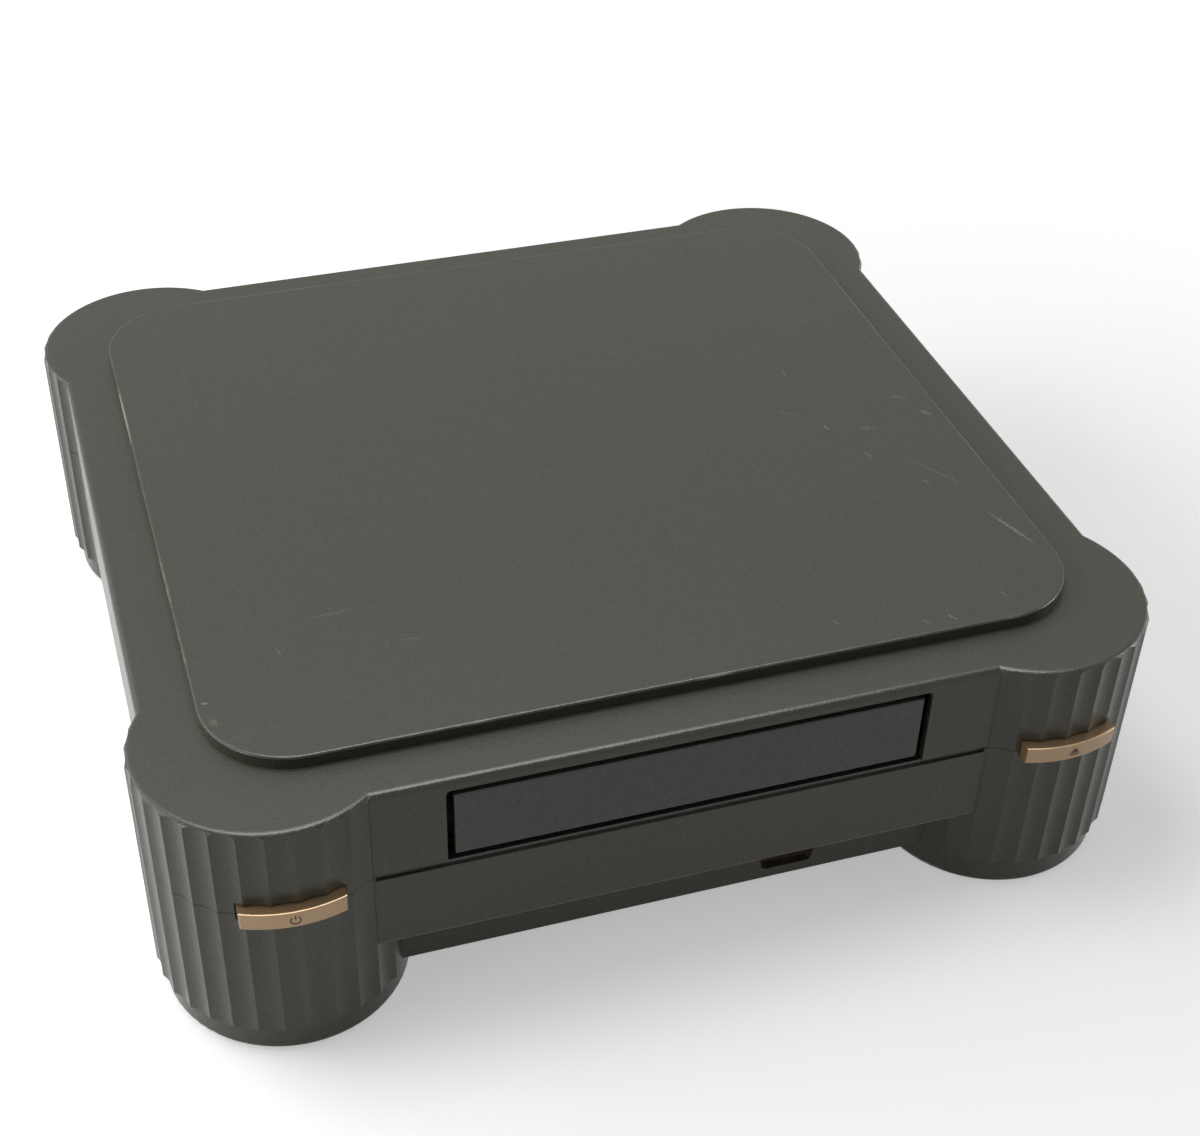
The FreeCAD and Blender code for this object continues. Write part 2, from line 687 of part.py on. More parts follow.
def port_outline(width, height, corner, y0, y1):
    """D-shaped bar along Y, wide side up, for the controller port."""
    lean = height * math.tan(math.radians(PORT_SIDE_SLOPE))
    top = PORT_Z + height / 2
    bottom = PORT_Z - height / 2
    corners = [
        point(PORT_X - width / 2, y0, top),
        point(PORT_X + width / 2, y0, top),
        point(PORT_X + width / 2 - lean, y0, bottom),
        point(PORT_X - width / 2 + lean, y0, bottom),
    ]
    solid = Part.Face(Part.makePolygon(corners + corners[:1])).extrude(point(0, y1 - y0, 0))
    along = [e for e in solid.Edges if abs(e.Vertexes[0].Y - e.Vertexes[1].Y) > 1e-6]
    return solid.makeFillet(corner, along)


def oval_y(x, z, width, height, y0, y1):
    """Bar along Y with round ends left and right."""
    radius = height / 2
    reach = width / 2 - radius
    ends = [bar_y(x + side * reach, z, y0, y1, radius) for side in (-1, 1)]
    return joined([box(x - reach, x + reach, y0, y1, z - radius, z + radius)] + ends)


def vent_slots(x0, count, pitch, y0, y1, z0, z1):
    """Row of slots along X."""
    slots = []
    for index in range(count):
        x = x0 + index * pitch
        slots.append(box(x, x + VENT_WIDTH, y0, y1, z0, z1))
    return slots


def tower_cap(x, y):
    """Fluted tower above the seam, with its top edge rounded before the flutes are cut."""
    plain = post(x, y, SEAM_Z, TOP_Z, TOWER_RADIUS)
    smooth = plain.makeFillet(TOP_EDGE_ROUND, flat_edges(plain, TOP_Z))
    return smooth.common(fluted_prism(x, y, SEAM_Z, TOP_Z))


def upper_cover():
    slab = slab_between_towers(HALF_WIDTH, FRONT_Y, REAR_Y, SEAM_Z, TOP_Z)
    slab = slab.makeFillet(TOP_EDGE_ROUND, flat_edges(slab, TOP_Z))
    plate = rounded_block(PLATE_WIDTH, PLATE_DEPTH, PLATE_CORNER, CEILING_Z, PLATE_Z)
    plate = plate.makeFillet(PLATE_EDGE_ROUND, flat_edges(plate, PLATE_Z))
    skin = joined([slab, plate] + [tower_cap(x, y) for x, y in tower_places()])
    room = slab_between_towers(HALF_WIDTH - WALL, FRONT_Y + WALL, REAR_Y - WALL, SEAM_Z, CEILING_Z)
    plate_room = rounded_block(PLATE_WIDTH - 2 * WALL, PLATE_DEPTH - 2 * WALL, PLATE_CORNER - WALL,
                               CEILING_Z, PLATE_Z - WALL)
    tower_rooms = [post(x, y, SEAM_Z, CEILING_Z, TOWER_ROOM_RADIUS) for x, y in tower_places()]
    shell = without(skin, [joined([room, plate_room] + tower_rooms)])
    bosses = []
    pilots = []
    for x, y in tower_places():
        boss_z = SCREW_POST_TOP_Z + CLOSE
        bosses.append(post(x, y, boss_z, PLATE_Z - WALL + CLOSE, UPPER_BOSS_RADIUS))
        pilots.append(post(x, y, boss_z - PAST, boss_z + CASE_SCREW_LENGTH,
                           CASE_SCREW_RADIUS + SHAFT_PLAY))
    shell = joined([shell] + bosses)
    half_opening = DOOR_WIDTH / 2 + DOOR_GAP
    opening = box(-half_opening, half_opening, FRONT_Y - PAST, FRONT_Y + WALL + PAST,
                  SEAM_Z - OPENING_CORNER - PAST, DOOR_TOP_Z + DOOR_GAP)
    along = [e for e in opening.Edges if abs(e.Vertexes[0].Y - e.Vertexes[1].Y) > 1e-6]
    opening = opening.makeFillet(OPENING_CORNER, along)
    vent_x = -VENT_COUNT * VENT_PITCH / 2
    vent_z = (SEAM_Z + TOP_Z - VENT_LENGTH) / 2
    vents = vent_slots(vent_x, VENT_COUNT, VENT_PITCH, REAR_Y - WALL - PAST, REAR_Y + PAST, vent_z,
                       vent_z + VENT_LENGTH)
    return without(shell, [opening] + button_windows() + vents + pilots)


def half_sleeve(x, y, side_x, side_y):
    """Fluted sleeve round the outer half of a tower, under the band."""
    whole = fluted_prism(x, y, FLUTE_END_Z, BAND_BOTTOM_Z)
    keep = block(0, TOWER_RADIUS, 4 * TOWER_RADIUS, 2 * TOWER_RADIUS, FLUTE_END_Z, BAND_BOTTOM_Z)
    keep.rotate(point(0, 0, 0), point(0, 0, 1), math.degrees(math.atan2(side_y, side_x)) - 90)
    keep.translate(point(x, y, 0))
    return whole.common(keep)


def tower_foot(side_x, side_y):
    """Cup under a tower: flutes round its outer half, a wall that the pan lies on, and a screw post."""
    x = side_x * TOWER_X
    y = side_y * TOWER_Y
    core = post(x, y, SHELL_BOTTOM_Z, BAND_BOTTOM_Z, TOWER_CORE_RADIUS)
    core = core.makeFillet(FOOT_EDGE_ROUND, flat_edges(core, SHELL_BOTTOM_Z))
    bore = post(x, y, SHELL_BOTTOM_Z + WALL, BAND_BOTTOM_Z, TOWER_BORE_RADIUS)
    pan_half = SKIRT_HALF_WIDTH + CLOSE
    pan_front = SKIRT_FRONT_Y - CLOSE
    pan_floor = slab_between_towers(pan_half, pan_front, REAR_Y + CLOSE, FLOOR_Z, INNER_FLOOR_Z)
    pan_room = slab_between_towers(pan_half, pan_front, REAR_Y - WALL, FLOOR_Z, BAND_BOTTOM_Z)
    cup = without(joined([core, half_sleeve(x, y, side_x, side_y)]), [bore, pan_floor, pan_room])
    cup = joined([cup, post(x, y, SHELL_BOTTOM_Z, SCREW_POST_TOP_Z, SCREW_POST_RADIUS)])
    shelf = SCREW_POST_TOP_Z - SCREW_SHELF
    well = post(x, y, SHELL_BOTTOM_Z - PAST, shelf, SCREW_WELL_RADIUS)
    hole = post(x, y, shelf - PAST, SCREW_POST_TOP_Z + PAST, CASE_SCREW_RADIUS + PLAY)
    seat_z = SHELL_BOTTOM_Z + FOOT_SINK
    seat = without(post(x, y, SHELL_BOTTOM_Z - PAST, seat_z, FOOT_RADIUS + CLOSE),
                   [post(x, y, SHELL_BOTTOM_Z - PAST, seat_z, FOOT_HOLE_RADIUS - CLOSE)])
    return without(cup, [well, hole, seat])


def seam_tongues():
    """Ribs inside the side and rear walls that reach up behind the upper cover."""
    length = TOWER_Y
    ribs = []
    for side in (-1, 1):
        wall_x = side * (HALF_WIDTH - WALL)
        face_x = wall_x - side * CLOSE * 2
        back_x = face_x - side * COVER_TONGUE
        low, high = sorted((wall_x, back_x))
        ribs.append(box(low, high, -length / 2, length / 2, SEAM_Z - 2 * COVER_TONGUE_RISE, SEAM_Z - CLOSE))
        low, high = sorted((face_x, back_x))
        ribs.append(box(low, high, -length / 2, length / 2, SEAM_Z - 2 * COVER_TONGUE_RISE,
                        SEAM_Z + COVER_TONGUE_RISE))
    return ribs


def front_board_slots():
    """Slotted ribs on the band's floor that hold the front board."""
    ribs = []
    top = FRONT_BOARD_Z + RIB_RISE
    for share in RIB_PLACES:
        x = share * TOWER_X
        rib = block(x, FRONT_BOARD_Y + BOARD_THICK / 2, RIB_WIDTH, RIB_DEPTH, BAND_BOTTOM_Z + PAST, top)
        slot = box(x - RIB_WIDTH, x + RIB_WIDTH, FRONT_BOARD_Y - CLOSE, FRONT_BOARD_Y + BOARD_THICK + CLOSE,
                   FRONT_BOARD_Z, top + PAST)
        ribs.append(without(rib, [slot]))
    return ribs


def chassis_places():
    return [(side * EAR_X, y) for side in (-1, 1) for y in EAR_Y]


def main_board_places():
    """Screw places of the main board, further apart on the side that clears the towers."""
    left = MAIN_BOARD_LEFT + MAIN_SCREW_INSET
    right = MAIN_BOARD_RIGHT - MAIN_SCREW_INSET
    wide = -SKIRT_FRONT_Y - MAIN_BOARD_FRONT - MAIN_SCREW_INSET
    narrow = TOWER_Y - TOWER_RADIUS - MAIN_SCREW_INSET
    return [(left, -wide), (left, wide), (right, -narrow), (right, narrow)]


def power_board_places():
    x0 = POWER_BOARD_X + POWER_SCREW_INSET
    x1 = POWER_BOARD_X + POWER_BOARD_WIDTH - POWER_SCREW_INSET
    y = POWER_BOARD_LENGTH / 2 - POWER_SCREW_INSET
    return [(x, sy * y) for x in (x0, x1) for sy in (-1, 1)]


def bottom_pan():
    """Floor and fascia of the lower case, open at the rear, with the posts for boards and chassis."""
    floor = slab_between_towers(SKIRT_HALF_WIDTH, SKIRT_FRONT_Y, REAR_Y, FLOOR_Z, INNER_FLOOR_Z)
    rim = slab_between_towers(SKIRT_HALF_WIDTH, SKIRT_FRONT_Y, REAR_Y - WALL, FLOOR_Z, BAND_BOTTOM_Z)
    room = slab_between_towers(SKIRT_HALF_WIDTH - WALL, SKIRT_FRONT_Y + WALL, REAR_Y, INNER_FLOOR_Z,
                               BAND_BOTTOM_Z)
    solids = [without(joined([floor, rim]), [room])]
    for x, y in chassis_places():
        solids.append(post(x, y, FLOOR_Z + PAST, CHASSIS_Z, CHASSIS_POST_RADIUS))
    for x, y in main_board_places() + power_board_places():
        solids.append(post(x, y, FLOOR_Z + PAST, BOARD_Z, STANDOFF_RADIUS))
    cuts = [port_outline(PORT_OPENING_WIDTH, PORT_OPENING_HEIGHT, PORT_OPENING_CORNER, SKIRT_FRONT_Y - PAST,
                         PORT_MOUTH_Y + PAST)]
    for x, y in tower_places():
        cuts.append(post(x, y, FLOOR_Z - PAST, INNER_FLOOR_Z + PAST, SCREW_POST_RADIUS + CLOSE))
    for x, y in chassis_places():
        cuts.append(post(x, y, CHASSIS_Z - CHASSIS_SCREW_LENGTH, CHASSIS_Z + PAST,
                         CHASSIS_SCREW_RADIUS + SHAFT_PLAY))
    for x, y in main_board_places() + power_board_places():
        cuts.append(post(x, y, INNER_FLOOR_Z + PAST, BOARD_Z + PAST, BOARD_SCREW_RADIUS + SHAFT_PLAY))
    half_vent = FLOOR_VENT_LENGTH / 2
    cuts += vent_slots(POWER_BOARD_X + FLOOR_VENT_INSET, FLOOR_VENT_COUNT, FLOOR_VENT_PITCH, -half_vent,
                       half_vent, FLOOR_Z - PAST, INNER_FLOOR_Z + PAST)
    return without(joined(solids), cuts)


def lower_cover():
    """Band round the case between the pan and the seam, open at the rear for its panel."""
    band = slab_between_towers(HALF_WIDTH, FRONT_Y, REAR_Y - WALL, BAND_BOTTOM_Z, SEAM_Z)
    skin = joined([band] + [fluted_prism(x, y, BAND_BOTTOM_Z, SEAM_Z) for x, y in tower_places()])
    rooms = [
        slab_between_towers(HALF_WIDTH - WALL, FRONT_Y + WALL, REAR_Y - WALL, BAND_FLOOR_Z, SEAM_Z),
        slab_between_towers(SKIRT_HALF_WIDTH - WALL, SKIRT_FRONT_Y + WALL, REAR_Y - WALL, BAND_BOTTOM_Z,
                            SEAM_Z),
    ]
    rooms += [post(x, y, BAND_BOTTOM_Z, SEAM_Z, TOWER_ROOM_RADIUS) for x, y in tower_places()]
    shell = without(skin, [joined(rooms)])
    shell = joined([shell] + seam_tongues() + front_board_slots())
    strip_gap = box(-JUNCTION_X, JUNCTION_X, FRONT_Y - PAST, FRONT_Y + WALL, LEDGE_Z, SEAM_Z + PAST)
    return without(shell, button_windows() + [strip_gap])


def rear_panel():
    """Rear wall between the towers, with a shallow bay round the connectors."""
    panel = box(-TOWER_X, TOWER_X, REAR_Y - WALL, REAR_Y, INNER_FLOOR_Z, SEAM_Z)
    bay_back = box(BAY_LEFT - WALL, BAY_RIGHT + WALL, BAY_INNER_Y, REAR_Y - WALL,
                   BAY_BOTTOM_Z - WALL, BAY_BOTTOM_Z + BAY_HEIGHT + WALL)
    bay = box(BAY_LEFT, BAY_RIGHT, BAY_Y, REAR_Y + PAST, BAY_BOTTOM_Z, BAY_BOTTOM_Z + BAY_HEIGHT)
    towers = [post(x, y, 0, SEAM_Z, TOWER_RADIUS + CLOSE) for x, y in tower_places()]
    return without(joined([panel, bay_back]), [bay] + towers + rear_cuts())


def jack_places():
    return [JACK_FIRST_X + index * JACK_PITCH for index in range(3)]


def s_video_x():
    return JACK_FIRST_X + 3 * JACK_PITCH


def aerial_places():
    middle = MODULATOR_LEFT + MODULATOR_WIDTH / 2
    return [middle - AERIAL_PITCH / 2, middle + AERIAL_PITCH / 2]


def channel_x():
    return MODULATOR_LEFT + MODULATOR_WIDTH / 2


def rear_cuts():
    """Holes for the jacks, the aerial sockets, the channel switch and the power inlet."""
    y0 = BAY_INNER_Y - PAST
    y1 = REAR_Y + PAST
    cuts = [bar_y(x, JACK_Z, y0, y1, JACK_COLLAR_RADIUS + PLAY) for x in jack_places()]
    cuts.append(bar_y(s_video_x(), JACK_Z, y0, y1, DIN_RADIUS + PLAY))
    cuts += [bar_y(x, JACK_Z, y0, y1, AERIAL_COLLAR_RADIUS + PLAY) for x in aerial_places()]
    half = CHANNEL_TRAVEL / 2 + CHANNEL_KNOB / 2 + PLAY
    half_height = CHANNEL_SLOT_HEIGHT / 2
    cuts.append(box(channel_x() - half, channel_x() + half, y0, y1, JACK_Z - half_height,
                    JACK_Z + half_height))
    cuts.append(inlet_oval(INLET_FRAME + PLAY, y0, y1))
    return cuts


def rubber_foot(x, y):
    outline = [
        (FOOT_HOLE_RADIUS, SHELL_BOTTOM_Z + FOOT_SINK),
        (FOOT_HOLE_RADIUS, FOOT_RING_EDGE),
        (FOOT_HOLE_RADIUS + FOOT_RING_EDGE, 0),
        (FOOT_RADIUS - FOOT_RING_EDGE, 0),
        (FOOT_RADIUS, FOOT_RING_EDGE),
        (FOOT_RADIUS, SHELL_BOTTOM_Z + FOOT_SINK),
    ]
    return turned(x, y, outline)


def screw_up(x, y, seat_z, length, radius):
    """Screw that enters from below, its head under seat_z."""
    head = post(x, y, seat_z - SCREW_HEAD_HEIGHT, seat_z, SCREW_HEAD_RADIUS)
    return joined([head, post(x, y, seat_z, seat_z + length, radius)])


def screw_down(x, y, seat_z, length, radius):
    """Screw that enters from above, its head on seat_z."""
    head = post(x, y, seat_z, seat_z + SCREW_HEAD_HEIGHT, SCREW_HEAD_RADIUS)
    return joined([head, post(x, y, seat_z - length, seat_z, radius)])


def case_screws():
    seat = SCREW_POST_TOP_Z - SCREW_SHELF
    return [screw_up(x, y, seat, CASE_SCREW_LENGTH, CASE_SCREW_RADIUS) for x, y in tower_places()]


def indicator_strip():
    half = JUNCTION_X - 2 * CLOSE
    front = FRONT_Y + STRIP_SETBACK
    leg_front = FRONT_Y + WALL + CLOSE
    leg_back = leg_front + STRIP_THICK
    top = SEAM_Z - CLOSE
    bar = box(-half, half, front, leg_back, LEDGE_Z, top)
    leg = box(-half, half, leg_front, leg_back, LEDGE_Z - STRIP_LEG, top)
    return joined([bar, leg])


def tray_door():
    half = DOOR_WIDTH / 2
    panel = box(-half, half, DOOR_FRONT_Y, DOOR_BACK_Y, DOOR_BOTTOM_Z, DOOR_TOP_Z)
    face = [e for e in panel.Edges if all(abs(v.Y - DOOR_FRONT_Y) < 1e-6 for v in e.Vertexes)]
    panel = panel.makeFillet(DOOR_EDGE_ROUND, face)
    recess = box(-half + WALL, half - WALL, DOOR_BACK_Y - DOOR_RECESS, DOOR_BACK_Y + PAST,
                 DOOR_BOTTOM_Z + WALL, DOOR_TOP_Z - WALL)
    pad_x = half - DOOR_PAD_INSET
    pad_half = DOOR_PAD_WIDTH / 2
    pads = [box(x - pad_half, x + pad_half, DOOR_BACK_Y - DOOR_RECESS, DOOR_BACK_Y, TRAY_PLATE_Z,
                DOOR_TOP_Z - WALL) for x in (-pad_x, 0, pad_x)]
    return joined([without(panel, [recess])] + pads)


def disc_tray():
    front = DOOR_BACK_Y
    plate_front = front + TRAY_FRONT_THICK
    half = TRAY_WIDTH / 2
    plate = box(-half, half, front, TRAY_REAR_Y, TRAY_PLATE_Z, TRAY_TOP_Z)
    lip = box(-half, half, front, plate_front, RAIL_Z + TRAY_LIP_RISE, DOOR_TOP_Z - WALL)
    rails = []
    for side in (-1, 1):
        low, high = sorted((side * RAIL_INNER_X, side * RAIL_OUTER_X))
        rails.append(box(low, high, plate_front, TRAY_REAR_Y, RAIL_Z, TRAY_PLATE_Z))
    rack_y0 = front + RACK_START
    teeth = rack(RACK_LINE_X, 1, TRAY_GEAR_Y, rack_y0, TRAY_REAR_Y, RAIL_Z, RAIL_Z + RACK_HEIGHT, RACK_MODULE,
                 -RAIL_OUTER_X)
    body = joined([plate, lip, teeth] + rails)
    well = post(0, SPINDLE_Y, TRAY_TOP_Z - WELL_DEPTH, TRAY_TOP_Z + PAST, WELL_RADIUS)
    small_z = TRAY_TOP_Z - WELL_DEPTH - SMALL_WELL_DEPTH
    small_well = post(0, SPINDLE_Y, small_z, TRAY_TOP_Z, SMALL_DISC_DIAMETER / 2 + WELL_PLAY)
    slot_half = TRAY_SLOT_WIDTH / 2
    hub = post(0, SPINDLE_Y, RAIL_Z, TRAY_TOP_Z + PAST, slot_half)
    slot = box(-slot_half, slot_half, SPINDLE_Y, TRAY_REAR_Y + PAST, RAIL_Z, TRAY_TOP_Z + PAST)
    finger = post(0, SPINDLE_Y - WELL_RADIUS + FINGER_REACH, TRAY_PLATE_Z + FINGER_FLOOR, TRAY_TOP_Z + PAST,
                  FINGER_RADIUS)
    return without(body, [well, small_well, hub, slot, finger])


def gear_axle(x, y, top):
    return post(x, y, CHASSIS_Z, top, AXLE_RADIUS)


def mechanism_chassis():
    floor = box(-CHASSIS_HALF, CHASSIS_HALF, CHASSIS_FRONT_Y, CHASSIS_REAR_Y, CHASSIS_Z, CHASSIS_FLOOR_TOP)
    solids = [floor]
    inner = CHASSIS_HALF - CHASSIS_WALL
    for side in (-1, 1):
        low, high = sorted((side * inner, side * CHASSIS_HALF))
        solids.append(box(low, high, CHASSIS_FRONT_Y, CHASSIS_REAR_Y, CHASSIS_Z, CHASSIS_WALL_TOP))
        bridge_half = BRIDGE_WIDTH / 2
        solids.append(box(low, high, SPINDLE_Y - bridge_half, SPINDLE_Y + bridge_half, CHASSIS_Z, BRIDGE_Z))
        low, high = sorted((side * (RAIL_INNER_X + RAIL_LEDGE_INSET), side * inner))
        solids.append(box(low, high, CHASSIS_FRONT_Y, CHASSIS_REAR_Y, RAIL_Z - PLAY - RAIL_LEDGE,
                          RAIL_Z - PLAY))
        low, high = sorted((side * (inner - HOLD_DOWN), side * inner))
        for y0, y1 in hold_down_spans():
            solids.append(box(low, high, y0, y1, TRAY_TOP_Z + PLAY, CHASSIS_WALL_TOP))
    solids.append(box(-CHASSIS_HALF, CHASSIS_HALF, CHASSIS_REAR_Y - CHASSIS_WALL, CHASSIS_REAR_Y, CHASSIS_Z,
                      CHASSIS_FLOOR_TOP + CHASSIS_RIB))
    for x, y in chassis_places():
        side = math.copysign(1, x)
        low, high = sorted((side * (CHASSIS_HALF - PAST), side * (CHASSIS_HALF + EAR_SIZE)))
        solids.append(box(low, high, y - EAR_SIZE / 2, y + EAR_SIZE / 2, CHASSIS_Z, CHASSIS_FLOOR_TOP))
    solids.append(gear_axle(TRAY_GEAR_X, TRAY_GEAR_Y, TRAY_GEAR_TOP_Z))
    solids.append(post(TRAY_GEAR_X, TRAY_GEAR_Y, CHASSIS_Z, TRAY_GEAR_Z - CLOSE, AXLE_BOSS_RADIUS))
    solids.append(gear_axle(PINION_X, PINION_Y, TRAY_GEAR_Z + PINION_HEIGHT))
    solids.append(post(PINION_X, PINION_Y, CHASSIS_Z, PULLEY_Z - CLOSE, AXLE_BOSS_RADIUS))
    ear_y0 = PIVOT_Y - PIVOT_EAR_LENGTH / 2
    ear_y1 = PIVOT_Y + PIVOT_EAR_LENGTH / 2
    for x0, x1 in pivot_ears():
        solids.append(box(x0, x1, ear_y0, ear_y1, CHASSIS_Z, PIVOT_Z + PIVOT_EAR_RISE))
    body = joined(solids)
    window = box(-LIFT_LEFT - LIFT_CLEAR, LIFT_RIGHT + LIFT_CLEAR, LIFT_FRONT_Y - LIFT_CLEAR,
                 LIFT_REAR_Y + LIFT_CLEAR, CHASSIS_Z - PAST, CHASSIS_FLOOR_TOP)
    ears = [box(x0, x1, ear_y0, ear_y1, CHASSIS_Z - PAST, CHASSIS_FLOOR_TOP + PAST)
            for x0, x1 in pivot_ears()]
    cuts = [without(window, ears)]
    cuts.append(post(MOTOR_X, MOTOR_Y, CHASSIS_Z - PAST, CHASSIS_FLOOR_TOP + PAST,
                     MOTOR_COLLAR_RADIUS + CLOSE))
    for x0, x1 in pivot_ears():
        cuts.append(bar_x(PIVOT_Y, PIVOT_Z, x0 - PAST, x1 + PAST, LIFT_PIN_RADIUS + SHAFT_PLAY))
    for x, y in chassis_places():
        cuts.append(post(x, y, CHASSIS_Z - PAST, CHASSIS_FLOOR_TOP + PAST, CHASSIS_SCREW_RADIUS + PLAY))
    return without(body, cuts)


def hold_down_spans():
    front = CHASSIS_FRONT_Y + CHASSIS_WALL
    spans = [(front, front + HOLD_DOWN_FRONT_LENGTH)]
    return spans + [(y, y + HOLD_DOWN_LENGTH) for y in HOLD_DOWN_PLACES]


def pivot_ears():
    """Left and right stretches in X of the ears that carry the lift frame's pins."""
    ear = LIFT_PIN_LENGTH - PAST
    return [(-LIFT_LEFT - PLAY - ear, -LIFT_LEFT - PLAY), (LIFT_RIGHT + PLAY, LIFT_RIGHT + PLAY + ear)]


def chassis_screws():
    seat = CHASSIS_FLOOR_TOP
    length = CHASSIS_SCREW_LENGTH
    return [screw_down(x, y, seat, length, CHASSIS_SCREW_RADIUS) for x, y in chassis_places()]


def loading_motor():
    can = post(MOTOR_X, MOTOR_Y, CHASSIS_Z - MOTOR_HEIGHT, CHASSIS_Z, MOTOR_RADIUS)
    collar = post(MOTOR_X, MOTOR_Y, CHASSIS_Z, CHASSIS_Z + MOTOR_COLLAR_RISE, MOTOR_COLLAR_RADIUS)
    end = post(MOTOR_X, MOTOR_Y, CHASSIS_Z - MOTOR_HEIGHT - MOTOR_END_RISE, CHASSIS_Z - MOTOR_HEIGHT,
               MOTOR_END_RADIUS)
    shaft = post(MOTOR_X, MOTOR_Y, CHASSIS_Z, PULLEY_TOP_Z, MOTOR_SHAFT_RADIUS)
    return joined([can, collar, end, shaft])


def motor_pulley():
    return pulley(MOTOR_X, MOTOR_Y, PULLEY_Z, MOTOR_PULLEY_RADIUS, MOTOR_SHAFT_RADIUS + SHAFT_PLAY)


def loading_pulley():
    wheel = pulley(PINION_X, PINION_Y, PULLEY_Z, PULLEY_RADIUS, AXLE_RADIUS + SHAFT_PLAY)
    phase = meshed_phase(180, TRAY_GEAR_TEETH, PINION_DIRECTION, PINION_TEETH)
    pinion = gear(PINION_X, PINION_Y, PULLEY_TOP_Z, TRAY_GEAR_Z + PINION_HEIGHT, PINION_TEETH, RACK_MODULE,
                  phase, AXLE_RADIUS + SHAFT_PLAY)
    return joined([wheel, pinion])


def tray_gear():
    return gear(TRAY_GEAR_X, TRAY_GEAR_Y, TRAY_GEAR_Z, TRAY_GEAR_TOP_Z, TRAY_GEAR_TEETH, RACK_MODULE, 180,
                AXLE_RADIUS + SHAFT_PLAY)


def drive_belt():
    middle = PULLEY_Z + PULLEY_HEIGHT / 2
    z0 = middle - BELT_SIZE / 2
    z1 = middle + BELT_SIZE / 2
    loops = []
    for grow in (CLOSE / 2 + BELT_SIZE, CLOSE / 2):
        loops.append(belt_loop(PINION_X, PINION_Y, PULLEY_RADIUS + grow, MOTOR_X, MOTOR_Y,
                               MOTOR_PULLEY_RADIUS + grow, z0, z1))
    return without(loops[0], [loops[1]])


def clamp_bridge():
    half = BRIDGE_WIDTH / 2
    y0 = SPINDLE_Y - half
    y1 = SPINDLE_Y + half
    top = BRIDGE_Z + BRIDGE_SHEET
    plate = box(-CHASSIS_HALF, CHASSIS_HALF, y0, y1, BRIDGE_Z, top)
    lip_half = CHASSIS_HALF - BRIDGE_LIP_INSET
    lips = [
        box(-lip_half, lip_half, y0, y0 + BRIDGE_SHEET, BRIDGE_Z, top + BRIDGE_LIP),
        box(-lip_half, lip_half, y1 - BRIDGE_SHEET, y1, BRIDGE_Z, top + BRIDGE_LIP),
    ]
    hole = post(0, SPINDLE_Y, BRIDGE_Z - PAST, top + PAST, BRIDGE_HOLE_RADIUS)
    return without(joined([plate] + lips), [hole])


def clamp_puck():
    cap_top = CLAMP_CAP_Z + CLAMP_CAP_THICK
    foot_top = CLAMP_Z + CLAMP_FOOT
    recess_top = CLAMP_Z + CLAMP_RECESS
    outline = [
        (0, recess_top), (CLAMP_RECESS_RADIUS, recess_top), (CLAMP_RECESS_RADIUS, CLAMP_Z),
        (CLAMP_PUCK_RADIUS, CLAMP_Z),
        (CLAMP_PUCK_RADIUS, foot_top), (CLAMP_NECK_RADIUS, foot_top), (CLAMP_NECK_RADIUS, CLAMP_CAP_Z),
        (CLAMP_CAP_RADIUS, CLAMP_CAP_Z), (CLAMP_CAP_RADIUS, cap_top), (0, cap_top),
    ]
    return turned(0, SPINDLE_Y, outline)


def clamp_magnet():
    z0 = CLAMP_CAP_Z + CLAMP_CAP_THICK
    ring = post(0, SPINDLE_Y, z0, z0 + MAGNET_THICK, MAGNET_RADIUS)
    return without(ring, [post(0, SPINDLE_Y, z0 - PAST, z0 + MAGNET_THICK + PAST, MAGNET_RADIUS / 2)])


def damper_places():
    left = -LIFT_LEFT + LIFT_BAR / 2
    right = LIFT_RIGHT - LIFT_BAR / 2
    front = LIFT_FRONT_Y + LIFT_BAR / 2
    rear = LIFT_REAR_Y - LIFT_BAR / 2 - DAMPER_REAR_INSET
    return [(x, y) for x in (left, right) for y in (front, rear)]


def lift_frame():
    outer = box(-LIFT_LEFT, LIFT_RIGHT, LIFT_FRONT_Y, LIFT_REAR_Y, LIFT_Z, LIFT_TOP_Z)
    hollow = box(-LIFT_LEFT + LIFT_BAR, LIFT_RIGHT - LIFT_BAR, LIFT_FRONT_Y + LIFT_BAR,
                 LIFT_REAR_Y - LIFT_BAR, LIFT_Z - PAST, LIFT_TOP_Z + PAST)
    pins = [
        bar_x(PIVOT_Y, PIVOT_Z, -LIFT_LEFT - LIFT_PIN_LENGTH, -LIFT_LEFT + PAST, LIFT_PIN_RADIUS),
        bar_x(PIVOT_Y, PIVOT_Z, LIFT_RIGHT - PAST, LIFT_RIGHT + LIFT_PIN_LENGTH, LIFT_PIN_RADIUS),
    ]
    holes = [post(x, y, LIFT_Z - PAST, LIFT_TOP_Z + PAST, DAMPER_SCREW_RADIUS + SHAFT_PLAY)
             for x, y in damper_places()]
    return without(joined([without(outer, [hollow])] + pins), holes)


def damper(x, y):
    """Rubber bush with a groove that grips the optical base."""
    top = LIFT_TOP_Z + DAMPER_HEIGHT
    outline = [
        (DAMPER_BORE_RADIUS, LIFT_TOP_Z), (DAMPER_RADIUS, LIFT_TOP_Z), (DAMPER_RADIUS, BASE_Z - CLOSE / 2),
        (DAMPER_GROOVE_RADIUS, BASE_Z - CLOSE / 2), (DAMPER_GROOVE_RADIUS, BASE_TOP_Z + CLOSE / 2),
        (DAMPER_RADIUS, BASE_TOP_Z + CLOSE / 2), (DAMPER_RADIUS, top), (DAMPER_BORE_RADIUS, top),
    ]
    return turned(x, y, outline)


def damper_screws():
    seat = LIFT_TOP_Z + DAMPER_HEIGHT
    return [screw_down(x, y, seat, DAMPER_SCREW_LENGTH, DAMPER_SCREW_RADIUS) for x, y in damper_places()]


